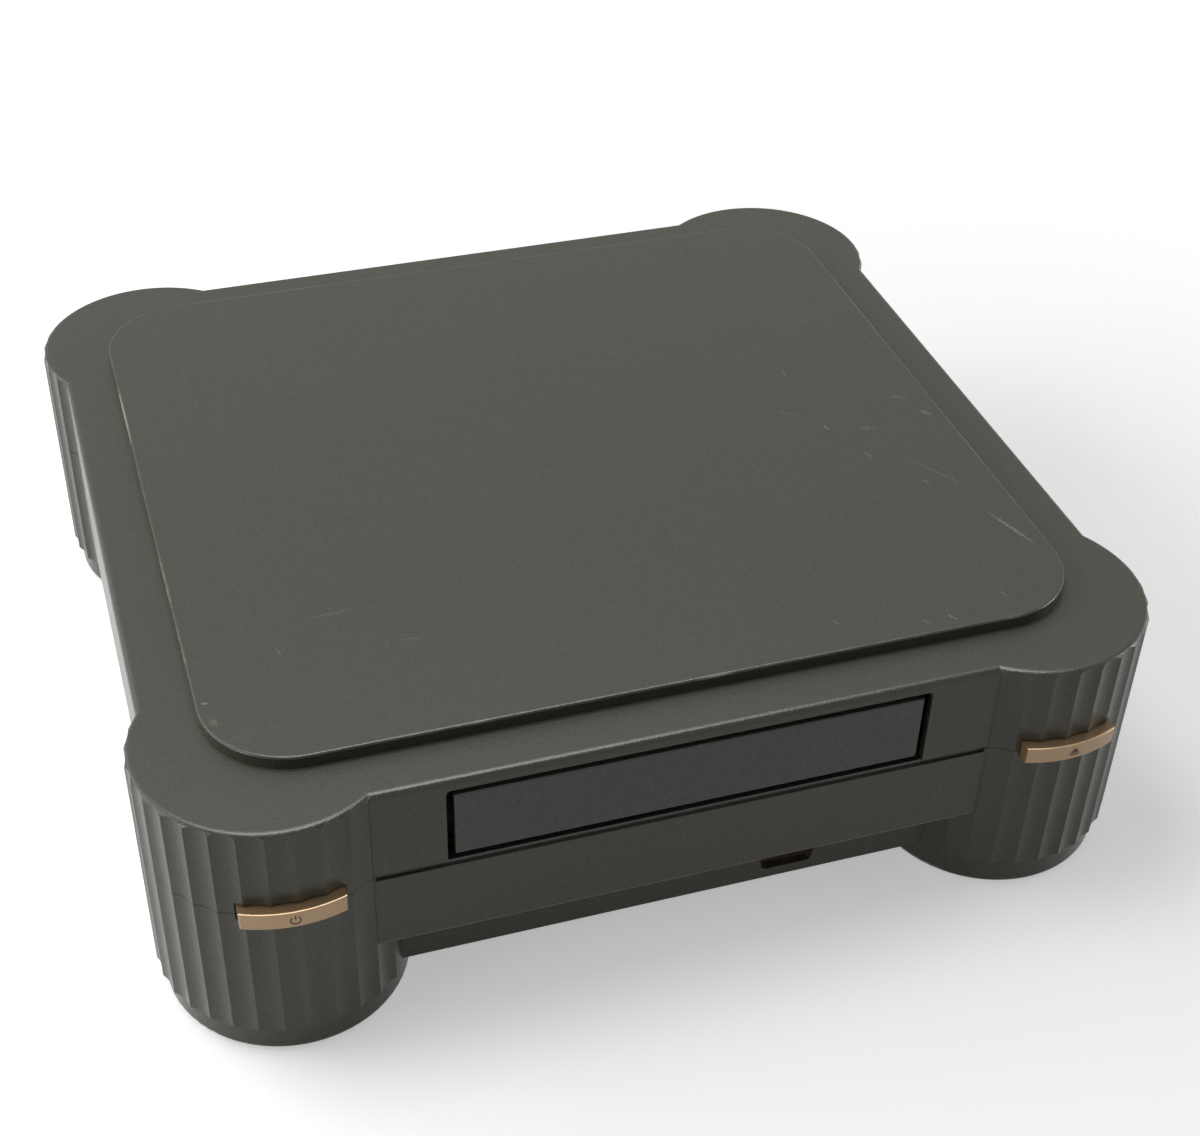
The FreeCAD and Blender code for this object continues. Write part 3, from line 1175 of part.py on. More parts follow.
def rod_ends():
    front = SLED_Y - SLED_LENGTH / 2 - ROD_BLOCK_GAP
    return front, SLED_Y + SLED_TRAVEL + SLED_LENGTH / 2 + ROD_BLOCK_GAP


def optical_base():
    y0 = LIFT_FRONT_Y + BASE_MARGIN
    y1 = LIFT_REAR_Y - LIFT_BAR
    plate = box(-LIFT_LEFT + BASE_MARGIN / 2, LIFT_RIGHT - BASE_MARGIN / 2, y0, y1, BASE_Z, BASE_TOP_Z)
    blocks = []
    holes = []
    front, rear = rod_ends()
    for side in (-1, 1):
        x = side * ROD_SPACING / 2
        for y in (front, rear):
            blocks.append(block(x, y, ROD_BLOCK, ROD_BLOCK_DEPTH, BASE_Z, ROD_Z + ROD_BLOCK / 2))
        holes.append(bar_y(x, ROD_Z, front - ROD_BLOCK_DEPTH, rear + ROD_BLOCK_DEPTH, ROD_RADIUS))
    blocks.append(post(FEED_X, FEED_Y, BASE_Z, FEED_PINION_TOP_Z, MOTOR_SHAFT_RADIUS))
    body = joined([plate] + blocks)
    holes.append(post(0, SPINDLE_Y, BASE_Z - PAST, BASE_TOP_Z + PAST, SPINDLE_HOLE_RADIUS))
    holes.append(post(FEED_X, FEED_MOTOR_Y, BASE_Z - PAST, BASE_TOP_Z + PAST, FEED_SHAFT_HOLE_RADIUS))
    for x, y in damper_places():
        holes.append(post(x, y, BASE_Z - PAST, BASE_TOP_Z + PAST, DAMPER_GROOVE_RADIUS + SHAFT_PLAY))
    return without(body, holes)


def guide_rods():
    front, rear = rod_ends()
    half = ROD_SPACING / 2
    reach = ROD_BLOCK_DEPTH / 2
    return [bar_y(x, ROD_Z, front - reach, rear + reach, ROD_RADIUS) for x in (-half, half)]


def spindle_motor():
    can = post(0, SPINDLE_Y, BASE_Z - SPINDLE_MOTOR_HEIGHT, BASE_Z, SPINDLE_MOTOR_RADIUS)
    shaft = post(0, SPINDLE_Y, BASE_Z, DISC_Z, SPINDLE_RADIUS)
    return joined([can, shaft])


def turntable():
    hub = DISC_HOLE / 2 - CLOSE
    bore = SPINDLE_RADIUS + SHAFT_PLAY
    bore_top = DISC_Z + SHAFT_PLAY
    rim_z = DISC_Z - TURNTABLE_RIM
    neck_z = rim_z - TURNTABLE_NECK_DROP
    outline = [
        (0, bore_top), (bore, bore_top), (bore, neck_z), (TURNTABLE_NECK_RADIUS, neck_z),
        (TURNTABLE_NECK_RADIUS, rim_z), (TURNTABLE_RADIUS, rim_z), (TURNTABLE_RADIUS, DISC_Z), (hub, DISC_Z),
        (hub, DISC_Z + HUB_RIM), (hub - HUB_TAPER, DISC_Z + HUB_HEIGHT), (0, DISC_Z + HUB_HEIGHT),
    ]
    return turned(0, SPINDLE_Y, outline)


def pickup_sled():
    y0 = SLED_Y - SLED_LENGTH / 2
    y1 = SLED_Y + SLED_LENGTH / 2
    body = block(0, SLED_Y, SLED_WIDTH, SLED_LENGTH, SLED_Z, SLED_TOP_Z)
    barrel = post(0, SLED_Y, SLED_Z, LENS_TOP_Z - BARREL_DROP, BARREL_RADIUS)
    rack_y0 = FEED_Y - SLED_TRAVEL - FEED_RACK_OVERRUN
    teeth = rack(FEED_LINE_X, 1, FEED_Y, rack_y0, FEED_Y + FEED_RACK_OVERRUN, FEED_RACK_Z, FEED_PINION_TOP_Z,
                 FEED_MODULE, SLED_WIDTH / 2 - FEED_RACK_ROOT)
    solids = [body, barrel, teeth]
    holes = []
    for side in (-1, 1):
        holes.append(bar_y(side * ROD_SPACING / 2, ROD_Z, y0 - PAST, y1 + PAST, ROD_RADIUS + SHAFT_PLAY))
    holes.append(post(0, SLED_Y, LENS_TOP_Z - LENS_SEAT, LENS_TOP_Z, LENS_RADIUS + CLOSE))
    return without(joined(solids), holes)


def pickup_lens():
    outline = [
        (0, LENS_TOP_Z - LENS_SEAT), (LENS_RADIUS, LENS_TOP_Z - LENS_SEAT),
        (LENS_RADIUS, LENS_TOP_Z - LENS_CROWN), (LENS_CROWN_RADIUS, LENS_TOP_Z), (0, LENS_TOP_Z),
    ]
    return turned(0, SLED_Y, outline)


def feed_gear():
    """Wheel driven by the feed motor with the small pinion that drives the sled's rack."""
    bore = MOTOR_SHAFT_RADIUS + SHAFT_PLAY
    wheel_top = FEED_WHEEL_Z + FEED_WHEEL_THICK
    wheel = gear(FEED_X, FEED_Y, FEED_WHEEL_Z, wheel_top, FEED_WHEEL_TEETH, FEED_MODULE, 0, bore)
    pinion = gear(FEED_X, FEED_Y, wheel_top, FEED_PINION_TOP_Z, FEED_PINION_TEETH, FEED_MODULE, 180, bore)
    return joined([wheel, pinion])


def feed_motor():
    can = post(FEED_X, FEED_MOTOR_Y, BASE_Z - FEED_MOTOR_HEIGHT, BASE_Z, FEED_MOTOR_RADIUS)
    shaft = post(FEED_X, FEED_MOTOR_Y, BASE_Z, FEED_WHEEL_Z + FEED_MOTOR_PINION_THICK, MOTOR_SHAFT_RADIUS)
    return joined([can, shaft])


def feed_motor_pinion():
    phase = meshed_phase(0, FEED_WHEEL_TEETH, 90, FEED_MOTOR_TEETH)
    return gear(FEED_X, FEED_MOTOR_Y, FEED_WHEEL_Z, FEED_WHEEL_Z + FEED_MOTOR_PINION_THICK, FEED_MOTOR_TEETH,
                FEED_MODULE, phase, MOTOR_SHAFT_RADIUS + SHAFT_PLAY)


def button_body(side):
    """Arc-shaped button that stands out of a front tower, with its flange and stem inside."""
    x = side * TOWER_X
    outer = TOWER_RADIUS + BUTTON_STANDOUT
    inner = TOWER_ROOM_RADIUS - PLAY
    back = -TOWER_Y - TOWER_ROOM_RADIUS / 2
    band = without(post(x, -TOWER_Y, BUTTON_Z, BUTTON_TOP_Z, outer),
                   [post(x, -TOWER_Y, BUTTON_Z - PAST, BUTTON_TOP_Z + PAST, inner)])
    cap = band.common(button_window(side, 0, -TOWER_Y - 2 * outer, back))
    rim = [e for e in cap.Edges if e.BoundBox.YMax < -TOWER_Y - TOWER_RADIUS + BUTTON_STANDOUT
           and all(math.hypot(v.X - x, v.Y + TOWER_Y) > outer - 1e-3 for v in e.Vertexes)]
    cap = cap.makeFillet(BUTTON_EDGE_ROUND, rim)
    flange_ring = without(post(x, -TOWER_Y, BUTTON_Z - BUTTON_FLANGE, BUTTON_TOP_Z + BUTTON_FLANGE, inner),
                          [post(x, -TOWER_Y, 0, TOP_Z, inner - BUTTON_FLANGE)])
    middle = side * (TOWER_X + BUTTON_OFFSET)
    reach = BUTTON_WIDTH / 2 + BUTTON_FLANGE
    flange = flange_ring.common(box(middle - reach, middle + reach, -TOWER_Y - 2 * outer, back, 0, TOP_Z))
    stem_mid = BUTTON_Z + BUTTON_HEIGHT / 2
    stem = box(middle - BUTTON_STEM / 2, middle + BUTTON_STEM / 2, -TOWER_Y - inner + PAST, STEM_END_Y,
               stem_mid - BUTTON_STEM / 2, stem_mid + BUTTON_STEM / 2)
    return joined([cap, flange, stem])


def push_switch(side):
    x = side * (TOWER_X + BUTTON_OFFSET)
    z = BUTTON_Z + BUTTON_HEIGHT / 2
    y0 = FRONT_BOARD_Y - SWITCH_DEPTH
    half = SWITCH_SIZE / 2
    body = box(x - half, x + half, y0, FRONT_BOARD_Y, z - half, z + half)
    return without(body, [bar_y(x, z, y0 - PAST, FRONT_BOARD_Y - SWITCH_BACK, PLUNGER_RADIUS + PLAY)])


def switch_plunger(side):
    x = side * (TOWER_X + BUTTON_OFFSET)
    z = BUTTON_Z + BUTTON_HEIGHT / 2
    return bar_y(x, z, STEM_END_Y, FRONT_BOARD_Y - SWITCH_BACK - BUTTON_TRAVEL - PLAY, PLUNGER_RADIUS)


def front_board():
    half = TOWER_X + FRONT_BOARD_REACH
    ear_x = JUNCTION_X + FRONT_BOARD_EAR_GAP
    y1 = FRONT_BOARD_Y + BOARD_THICK
    middle_top = LEDGE_Z - CLOSE
    strip = box(-half, half, FRONT_BOARD_Y, y1, FRONT_BOARD_Z, middle_top)
    top = BUTTON_TOP_Z + BUTTON_FLANGE
    ears = [box(-half, -ear_x, FRONT_BOARD_Y, y1, FRONT_BOARD_Z, top),
            box(ear_x, half, FRONT_BOARD_Y, y1, FRONT_BOARD_Z, top)]
    return joined([strip] + ears)


def lamp(side):
    """Clear light pipe between the front board and the indicator strip."""
    x = side * (JUNCTION_X - LAMP_INSET)
    half = LAMP_SIZE / 2
    face_y = FRONT_Y + WALL + STRIP_THICK + 2 * CLOSE
    top = LEDGE_Z - PLAY
    stem = box(x - half, x + half, face_y, FRONT_BOARD_Y, top - LAMP_HEIGHT, top)
    face = [e for e in stem.Edges if all(abs(v.Y - face_y) < 1e-6 for v in e.Vertexes)]
    return stem.makeFillet(LAMP_EDGE_ROUND, face)


def controller_port_shell():
    """Sheet-metal flange with the D-shaped collar that guides the plug."""
    flange_y = PORT_MOUTH_Y
    half_w = PORT_FLANGE_WIDTH / 2
    half_h = PORT_FLANGE_HEIGHT / 2
    flange = box(PORT_X - half_w, PORT_X + half_w, flange_y, flange_y + PORT_SHEET, PORT_Z - half_h,
                 PORT_Z + half_h)
    collar = port_outline(PORT_SHELL_WIDTH, PORT_SHELL_HEIGHT, PORT_SHELL_CORNER, flange_y,
                          flange_y + PORT_SHELL_DEPTH)
    inside = port_outline(PORT_SHELL_WIDTH - 2 * PORT_SHEET, PORT_SHELL_HEIGHT - 2 * PORT_SHEET,
                          PORT_SHELL_CORNER - PORT_SHEET, flange_y - PAST, flange_y + PORT_SHELL_DEPTH + PAST)
    return without(joined([flange, collar]), [inside])


def controller_port_core():
    y0 = PORT_MOUTH_Y + PORT_SHELL_DEPTH
    return port_outline(PORT_SHELL_WIDTH, PORT_SHELL_HEIGHT, PORT_SHELL_CORNER, y0, board_front())


def controller_port_pins():
    tip = PORT_MOUTH_Y + PORT_PIN_SETBACK
    foot = PORT_MOUTH_Y + PORT_SHELL_DEPTH
    pins = []
    for count, z in ((5, PORT_Z + PORT_ROW_PITCH / 2), (4, PORT_Z - PORT_ROW_PITCH / 2)):
        for index in range(count):
            x = PORT_X + (index - (count - 1) / 2) * PORT_PIN_PITCH
            pins.append(bar_y(x, z, tip, foot, PORT_PIN_RADIUS))
    return pins


def board_front():
    return SKIRT_FRONT_Y + MAIN_BOARD_FRONT


def main_board():
    rear = REAR_Y - MAIN_BOARD_REAR
    plate = box(MAIN_BOARD_LEFT, MAIN_BOARD_RIGHT, board_front(), rear, BOARD_Z, BOARD_TOP_Z)
    cuts = [post(x, y, BOARD_Z - PAST, BOARD_TOP_Z + PAST, CHASSIS_POST_RADIUS + PAST)
            for x, y in chassis_places()]
    cuts += [post(x, y, BOARD_Z - PAST, BOARD_TOP_Z + PAST, BOARD_HOLE_RADIUS)
             for x, y in main_board_places()]
    return without(plate, cuts)


def chip(x, y, size, height):
    body = block(x, y, size, size, BOARD_TOP_Z, BOARD_TOP_Z + height)
    return body.makeChamfer(min(CHIP_EDGE, height / 3), flat_edges(body, BOARD_TOP_Z + height))


def memory_chips():
    first = MEMORY_X - MEMORY_PITCH * (MEMORY_COUNT - 1) / 2
    places = [first + index * MEMORY_PITCH for index in range(MEMORY_COUNT)]
    return [chip(x, MEMORY_Y, MEMORY_SIZE, MEMORY_HEIGHT) for x in places]


def shield_can():
    """Tinned box open downwards over the large chips, with slots in its top."""
    top = BOARD_TOP_Z + SHIELD_HEIGHT
    outer = box(SHIELD_LEFT, SHIELD_RIGHT, SHIELD_FRONT, SHIELD_REAR, BOARD_TOP_Z, top)
    inner = box(SHIELD_LEFT + SHEET, SHIELD_RIGHT - SHEET, SHIELD_FRONT + SHEET, SHIELD_REAR - SHEET,
                BOARD_TOP_Z - PAST, top - SHEET)
    half = SHIELD_SLOT / 2
    vents = [box(SHIELD_LEFT + SHIELD_MARGIN, SHIELD_RIGHT - SHIELD_MARGIN, y - half, y + half,
                 top - SHEET - PAST, top + PAST) for y in SHIELD_SLOT_PLACES]
    return without(outer, [inner] + vents)


def jack(x):
    """Phono jack: plastic block behind the panel with a metal barrel through it."""
    y1 = BAY_INNER_Y - CLOSE
    body = box(x - JACK_BODY_WIDTH / 2, x + JACK_BODY_WIDTH / 2, y1 - JACK_BODY_DEPTH, y1, BOARD_TOP_Z,
               BOARD_TOP_Z + JACK_BODY_HEIGHT)
    collar = bar_y(x, JACK_Z, y1 - PAST, BAY_Y, JACK_COLLAR_RADIUS)
    barrel = bar_y(x, JACK_Z, y1 - PAST, BAY_Y + JACK_LENGTH, JACK_RADIUS)
    tip = BAY_Y + JACK_LENGTH
    bore = bar_y(x, JACK_Z, tip - JACK_BORE_DEPTH, tip + PAST, JACK_BORE_RADIUS)
    return without(joined([body, collar, barrel]), [bore])


def s_video_jack():
    x = s_video_x()
    y1 = BAY_INNER_Y - CLOSE
    half = DIN_RADIUS + DIN_BODY_MARGIN
    body = box(x - half, x + half, y1 - JACK_BODY_DEPTH, y1, BOARD_TOP_Z, JACK_Z + half)
    nose = bar_y(x, JACK_Z, y1 - PAST, BAY_Y, DIN_RADIUS)
    ring = without(bar_y(x, JACK_Z, y1 - DIN_DEPTH, REAR_Y, DIN_RADIUS - DIN_WALL),
                   [bar_y(x, JACK_Z, y1 - DIN_DEPTH - PAST, REAR_Y + PAST, DIN_RADIUS - DIN_WALL - DIN_RING)])
    return without(joined([body, nose]), [ring])


def rf_modulator():
    y1 = BAY_INNER_Y - CLOSE
    top = BOARD_TOP_Z + MODULATOR_HEIGHT
    can = box(MODULATOR_LEFT, MODULATOR_LEFT + MODULATOR_WIDTH, y1 - MODULATOR_DEPTH, y1, BOARD_TOP_Z, top)
    barrels = [bar_y(x, JACK_Z, y1 - PAST, BAY_Y, AERIAL_COLLAR_RADIUS) for x in aerial_places()]
    barrels += [bar_y(x, JACK_Z, y1 - PAST, BAY_Y + AERIAL_LENGTH, AERIAL_RADIUS) for x in aerial_places()]
    tip = BAY_Y + AERIAL_LENGTH
    bores = [bar_y(x, JACK_Z, tip - AERIAL_BORE_DEPTH, tip + PAST, AERIAL_BORE_RADIUS)
             for x in aerial_places()]
    half = CHANNEL_TRAVEL / 2 + CHANNEL_KNOB / 2 + PLAY
    half_height = CHANNEL_TRACK_HEIGHT / 2
    track = box(channel_x() - half, channel_x() + half, y1 - CHANNEL_TRACK_DEPTH, y1 + PAST,
                JACK_Z - half_height, JACK_Z + half_height)
    return without(joined([can] + barrels), bores + [track])


def channel_switch():
    y1 = BAY_INNER_Y - CLOSE
    x = channel_x() - CHANNEL_TRAVEL / 2
    half = CHANNEL_KNOB / 2
    half_height = CHANNEL_TRACK_HEIGHT / 2 - PLAY
    return box(x - half, x + half, y1 - CHANNEL_TRACK_DEPTH + PLAY, BAY_Y + CHANNEL_KNOB_STANDOUT,
               JACK_Z - half_height, JACK_Z + half_height)


def power_board():
    x1 = POWER_BOARD_X + POWER_BOARD_WIDTH
    half = POWER_BOARD_LENGTH / 2
    plate = box(POWER_BOARD_X, x1, -half, half, BOARD_Z, BOARD_TOP_Z)
    holes = [post(x, y, BOARD_Z - PAST, BOARD_TOP_Z + PAST, BOARD_HOLE_RADIUS)
             for x, y in power_board_places()]
    return without(plate, holes)


def power_x():
    return POWER_BOARD_X + POWER_BOARD_WIDTH / 2


def transformer_core():
    """Laminated core with a window on each side of its middle limb."""
    x = power_x()
    width = CORE_LIMB + 2 * CORE_WINDOW + 2 * CORE_YOKE
    outer = block(x, TRANSFORMER_Y, width, CORE_DEPTH, BOARD_TOP_Z, BOARD_TOP_Z + CORE_HEIGHT)
    offset = (CORE_LIMB + CORE_WINDOW) / 2
    windows = [block(x + side * offset, TRANSFORMER_Y, CORE_WINDOW, CORE_DEPTH + PAST,
                     BOARD_TOP_Z + CORE_YOKE, BOARD_TOP_Z + CORE_HEIGHT - CORE_YOKE) for side in (-1, 1)]
    return without(outer, windows)


def transformer_winding():
    """Wound bobbin round the core's middle limb."""
    x = power_x()
    z0 = BOARD_TOP_Z + CORE_YOKE + CLOSE
    z1 = BOARD_TOP_Z + CORE_HEIGHT - CORE_YOKE - CLOSE
    drum = block(x, TRANSFORMER_Y, CORE_LIMB + 2 * CORE_WINDOW - 2 * CLOSE, WINDING_DEPTH, z0, z1)
    drum = drum.makeFillet(WINDING_CORNER, upright_edges(drum))
    limb = block(x, TRANSFORMER_Y, CORE_LIMB + 2 * CLOSE, CORE_DEPTH + 2 * CLOSE, z0 - PAST, z1 + PAST)
    return without(drum, [limb])


def filter_capacitor(side):
    top = BOARD_TOP_Z + CAPACITOR_HEIGHT
    can = post(power_x() + side * CAPACITOR_PITCH / 2, CAPACITOR_Y, BOARD_TOP_Z, top, CAPACITOR_RADIUS)
    return can.makeChamfer(CAPACITOR_EDGE, flat_edges(can, top))


def heat_sink():
    """Finned plate that stands on the power board."""
    x = power_x()
    top = BOARD_TOP_Z + HEAT_SINK_HEIGHT
    plate = block(x, HEAT_SINK_Y, HEAT_SINK_WIDTH, HEAT_SINK_THICK, BOARD_TOP_Z, top)
    first = x - FIN_PITCH * (FIN_COUNT - 1) / 2
    fin_y = HEAT_SINK_Y - FIN_DEPTH / 2 - PAST
    fins = [block(first + index * FIN_PITCH, fin_y, FIN_THICK, FIN_DEPTH, BOARD_TOP_Z, top)
            for index in range(FIN_COUNT)]
    return joined([plate] + fins)


def inlet_oval(margin, y0, y1):
    return oval_y(INLET_X, INLET_Z, INLET_WIDTH + 2 * margin, INLET_HEIGHT + 2 * margin, y0, y1)


def power_inlet():
    """Two-pin inlet clipped into the rear panel, with its recess open to the rear."""
    body = inlet_oval(INLET_FRAME, REAR_Y - INLET_DEPTH, REAR_Y + INLET_RIM)
    flange = inlet_oval(INLET_FLANGE, REAR_Y, REAR_Y + INLET_FLANGE_THICK)
    recess = inlet_oval(0, INLET_BACK_Y, REAR_Y + INLET_FLANGE_THICK + PAST)
    return without(joined([body, flange]), [recess])


def inlet_pins():
    pins = []
    for side in (-1, 1):
        x = INLET_X + side * INLET_PIN_PITCH / 2
        pins.append(bar_y(x, INLET_Z, INLET_BACK_Y, INLET_BACK_Y + INLET_PIN_LENGTH, INLET_PIN_RADIUS))
    return pins


def board_screws():
    places = main_board_places() + power_board_places()
    return [screw_down(x, y, BOARD_TOP_Z, BOARD_SCREW_LENGTH, BOARD_SCREW_RADIUS) for x, y in places]


def parts():
    nodes = {
        "bottom_pan": bottom_pan(),
        "tower_feet": [tower_foot(side_x, side_y) for side_x, side_y in CORNERS.values()],
        "lower_cover": lower_cover(),
        "rear_panel": rear_panel(),
        "upper_cover": upper_cover(),
        "case_screws": case_screws(),
        "indicator_strip": indicator_strip(),
        "tray_door": tray_door(),
        "disc_tray": disc_tray(),
        "power_button": button_body(-1),
        "power_plunger": switch_plunger(-1),
        "open_button": button_body(1),
        "open_plunger": switch_plunger(1),
        "push_switches": [push_switch(-1), push_switch(1)],
        "front_board": front_board(),
        "indicator_lamps": [lamp(-1), lamp(1)],
        "controller_port_shell": controller_port_shell(),
        "controller_port_core": controller_port_core(),
        "controller_port_pins": controller_port_pins(),
        "mechanism_chassis": mechanism_chassis(),
        "chassis_screws": chassis_screws(),
        "loading_motor": loading_motor(),
        "motor_pulley": motor_pulley(),
        "drive_belt": drive_belt(),
        "loading_pulley": loading_pulley(),
        "tray_gear": tray_gear(),
        "clamp_bridge": clamp_bridge(),
        "clamp_puck": clamp_puck(),
        "clamp_magnet": clamp_magnet(),
        "lift_frame": lift_frame(),
        "rubber_dampers": [damper(x, y) for x, y in damper_places()],
        "damper_screws": damper_screws(),
        "optical_base": optical_base(),
        "spindle_motor": spindle_motor(),
        "turntable": turntable(),
        "guide_rods": guide_rods(),
        "pickup_sled": pickup_sled(),
        "pickup_lens": pickup_lens(),
        "feed_gear": feed_gear(),
        "feed_motor": feed_motor(),
        "feed_motor_pinion": feed_motor_pinion(),
        "main_board": main_board(),
        "large_chips": [chip(x, y, CHIP_SIZE, CHIP_HEIGHT) for x, y in CHIP_PLACES],
        "memory_chips": memory_chips(),
        "shield_can": shield_can(),
        "rf_modulator": rf_modulator(),
        "channel_switch": channel_switch(),
        "s_video_jack": s_video_jack(),
        "power_board": power_board(),
        "transformer_core": transformer_core(),
        "transformer_winding": transformer_winding(),
        "filter_capacitors": [filter_capacitor(side) for side in (-1, 1)],
        "heat_sink": heat_sink(),
        "power_inlet": power_inlet(),
        "inlet_pins": inlet_pins(),
        "board_screws": board_screws(),
    }
    jack_names = ("video_jack", "audio_left_jack", "audio_right_jack")
    for name, x in zip(jack_names, jack_places()):
        nodes[name] = jack(x)
    feet = [rubber_foot(x, y) for x, y in tower_places()]
    nodes["rubber_feet"] = feet
    return nodes


def main():
    os.makedirs("parts", exist_ok=True)
    for name, shape in parts().items():
        if isinstance(shape, list):
            shape = Part.makeCompound(shape)
        if not shape.isValid():
            raise ValueError("invalid solid: " + name)
        shape.translate(point(0, BUTTON_STANDOUT / 2, 0))
        shape.exportStep("parts/" + name + ".step")
        print(name, len(shape.Solids), round(shape.Volume))


main()
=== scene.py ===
import math

import bmesh
import bpy
from mathutils import Matrix, Vector
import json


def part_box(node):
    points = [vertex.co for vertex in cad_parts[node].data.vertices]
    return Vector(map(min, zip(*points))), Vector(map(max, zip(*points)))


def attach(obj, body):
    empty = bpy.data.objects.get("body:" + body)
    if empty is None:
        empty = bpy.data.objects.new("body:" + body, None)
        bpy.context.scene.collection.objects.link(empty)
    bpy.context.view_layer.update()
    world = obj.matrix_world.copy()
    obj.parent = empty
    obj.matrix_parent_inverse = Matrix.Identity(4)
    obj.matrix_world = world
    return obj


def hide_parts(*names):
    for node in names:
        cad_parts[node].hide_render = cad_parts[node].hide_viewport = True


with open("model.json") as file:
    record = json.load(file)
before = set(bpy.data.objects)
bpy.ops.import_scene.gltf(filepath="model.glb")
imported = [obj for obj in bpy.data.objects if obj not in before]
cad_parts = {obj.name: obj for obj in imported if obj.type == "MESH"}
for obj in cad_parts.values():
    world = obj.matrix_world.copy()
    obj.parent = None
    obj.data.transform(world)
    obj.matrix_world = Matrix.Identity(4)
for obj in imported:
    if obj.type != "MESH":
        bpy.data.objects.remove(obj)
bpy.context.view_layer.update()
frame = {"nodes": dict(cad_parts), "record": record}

# Everything is in metres, in the frame of the solids: front towards -Y, ground at z 0.
MM = 0.001


def middle(node):
    """The middle of a node's box."""
    lower, upper = (Vector(corner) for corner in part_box(node))
    return (lower + upper) / 2


def low(node):
    """The lower corner of a node's box."""
    return Vector(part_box(node)[0])


def high(node):
    """The upper corner of a node's box."""
    return Vector(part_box(node)[1])


# Sizes of the case that no node's box gives
TOWER_RADIUS = 37.7 * MM
BUTTON_STANDOUT = 3.0 * MM
SEAM_Z = 58.0 * MM
PLATE_HALF_WIDTH = 128.8 * MM
PLATE_HALF_DEPTH = 119.4 * MM
PLATE_MIDDLE_Y = 1.5 * MM
BAND_FRONT_Y = -133.6 * MM
BAND_BOTTOM_Z = 31.3 * MM
# Where the front band meets the towers, on both sides of the middle
JUNCTION_X = 90.4 * MM

PLATE_Z = high("upper_cover").z
TOWER_X = high("lower_cover").x - TOWER_RADIUS
TOWER_FRONT_Y = low("lower_cover").y + TOWER_RADIUS


# Materials. Scales of noise, cells and waves are counts per metre.

# The share of its range from 0 to 1 that a noise mostly fills
NOISE_RANGE = (0.3, 0.7)
# The share of an ellipse's size inside which it is at full strength
ELLIPSE_CORE = 0.35


def srgb(red, green, blue):
    """Linear colour from 0-255 display values."""
    def linear(value):
        value /= 255
        return value / 12.92 if value <= 0.04045 else ((value + 0.055) / 1.055) ** 2.4
    return (linear(red), linear(green), linear(blue), 1.0)


def scaled(colour, factor):
    """A colour made darker or paler, held at white."""
    return tuple(min(1.0, channel * factor) for channel in colour[:3]) + (1.0,)


class Tree:
    """A node tree whose nodes are added one call at a time."""

    def __init__(self, tree):
        self.tree = tree

    def link(self, value, socket):
        """Feeds a socket from another one, or sets it to a plain value."""
        if isinstance(value, bpy.types.NodeSocket):
            self.tree.links.new(value, socket)
        else:
            socket.default_value = value

    def node(self, kind, inputs, **settings):
        """A new node with its settings made and its inputs fed."""
        node = self.tree.nodes.new(kind)
        for name, value in settings.items():
            setattr(node, name, value)
        for name, value in inputs.items():
            self.link(value, node.inputs[name])
        return node

    def maths(self, operation, a, b=0.0):
        return self.node("ShaderNodeMath", {0: a, 1: b}, operation=operation).outputs[0]

    def combined(self, operation, values):
        """All the values put together by one operation, from the first to the last."""
        result = values[0]
        for value in values[1:]:
            result = self.maths(operation, result, value)
        return result

    def length(self, vector):
        return self.node("ShaderNodeVectorMath", {0: vector}, operation="LENGTH").outputs["Value"]

    def span(self, value, start, end, to_start=0.0, to_end=1.0):
        """Value mapped from start..end to another range, held at both ends."""
        node = self.node("ShaderNodeMapRange", {"Value": value, "From Min": start, "From Max": end,
                                                "To Min": to_start, "To Max": to_end})
        return node.outputs["Result"]


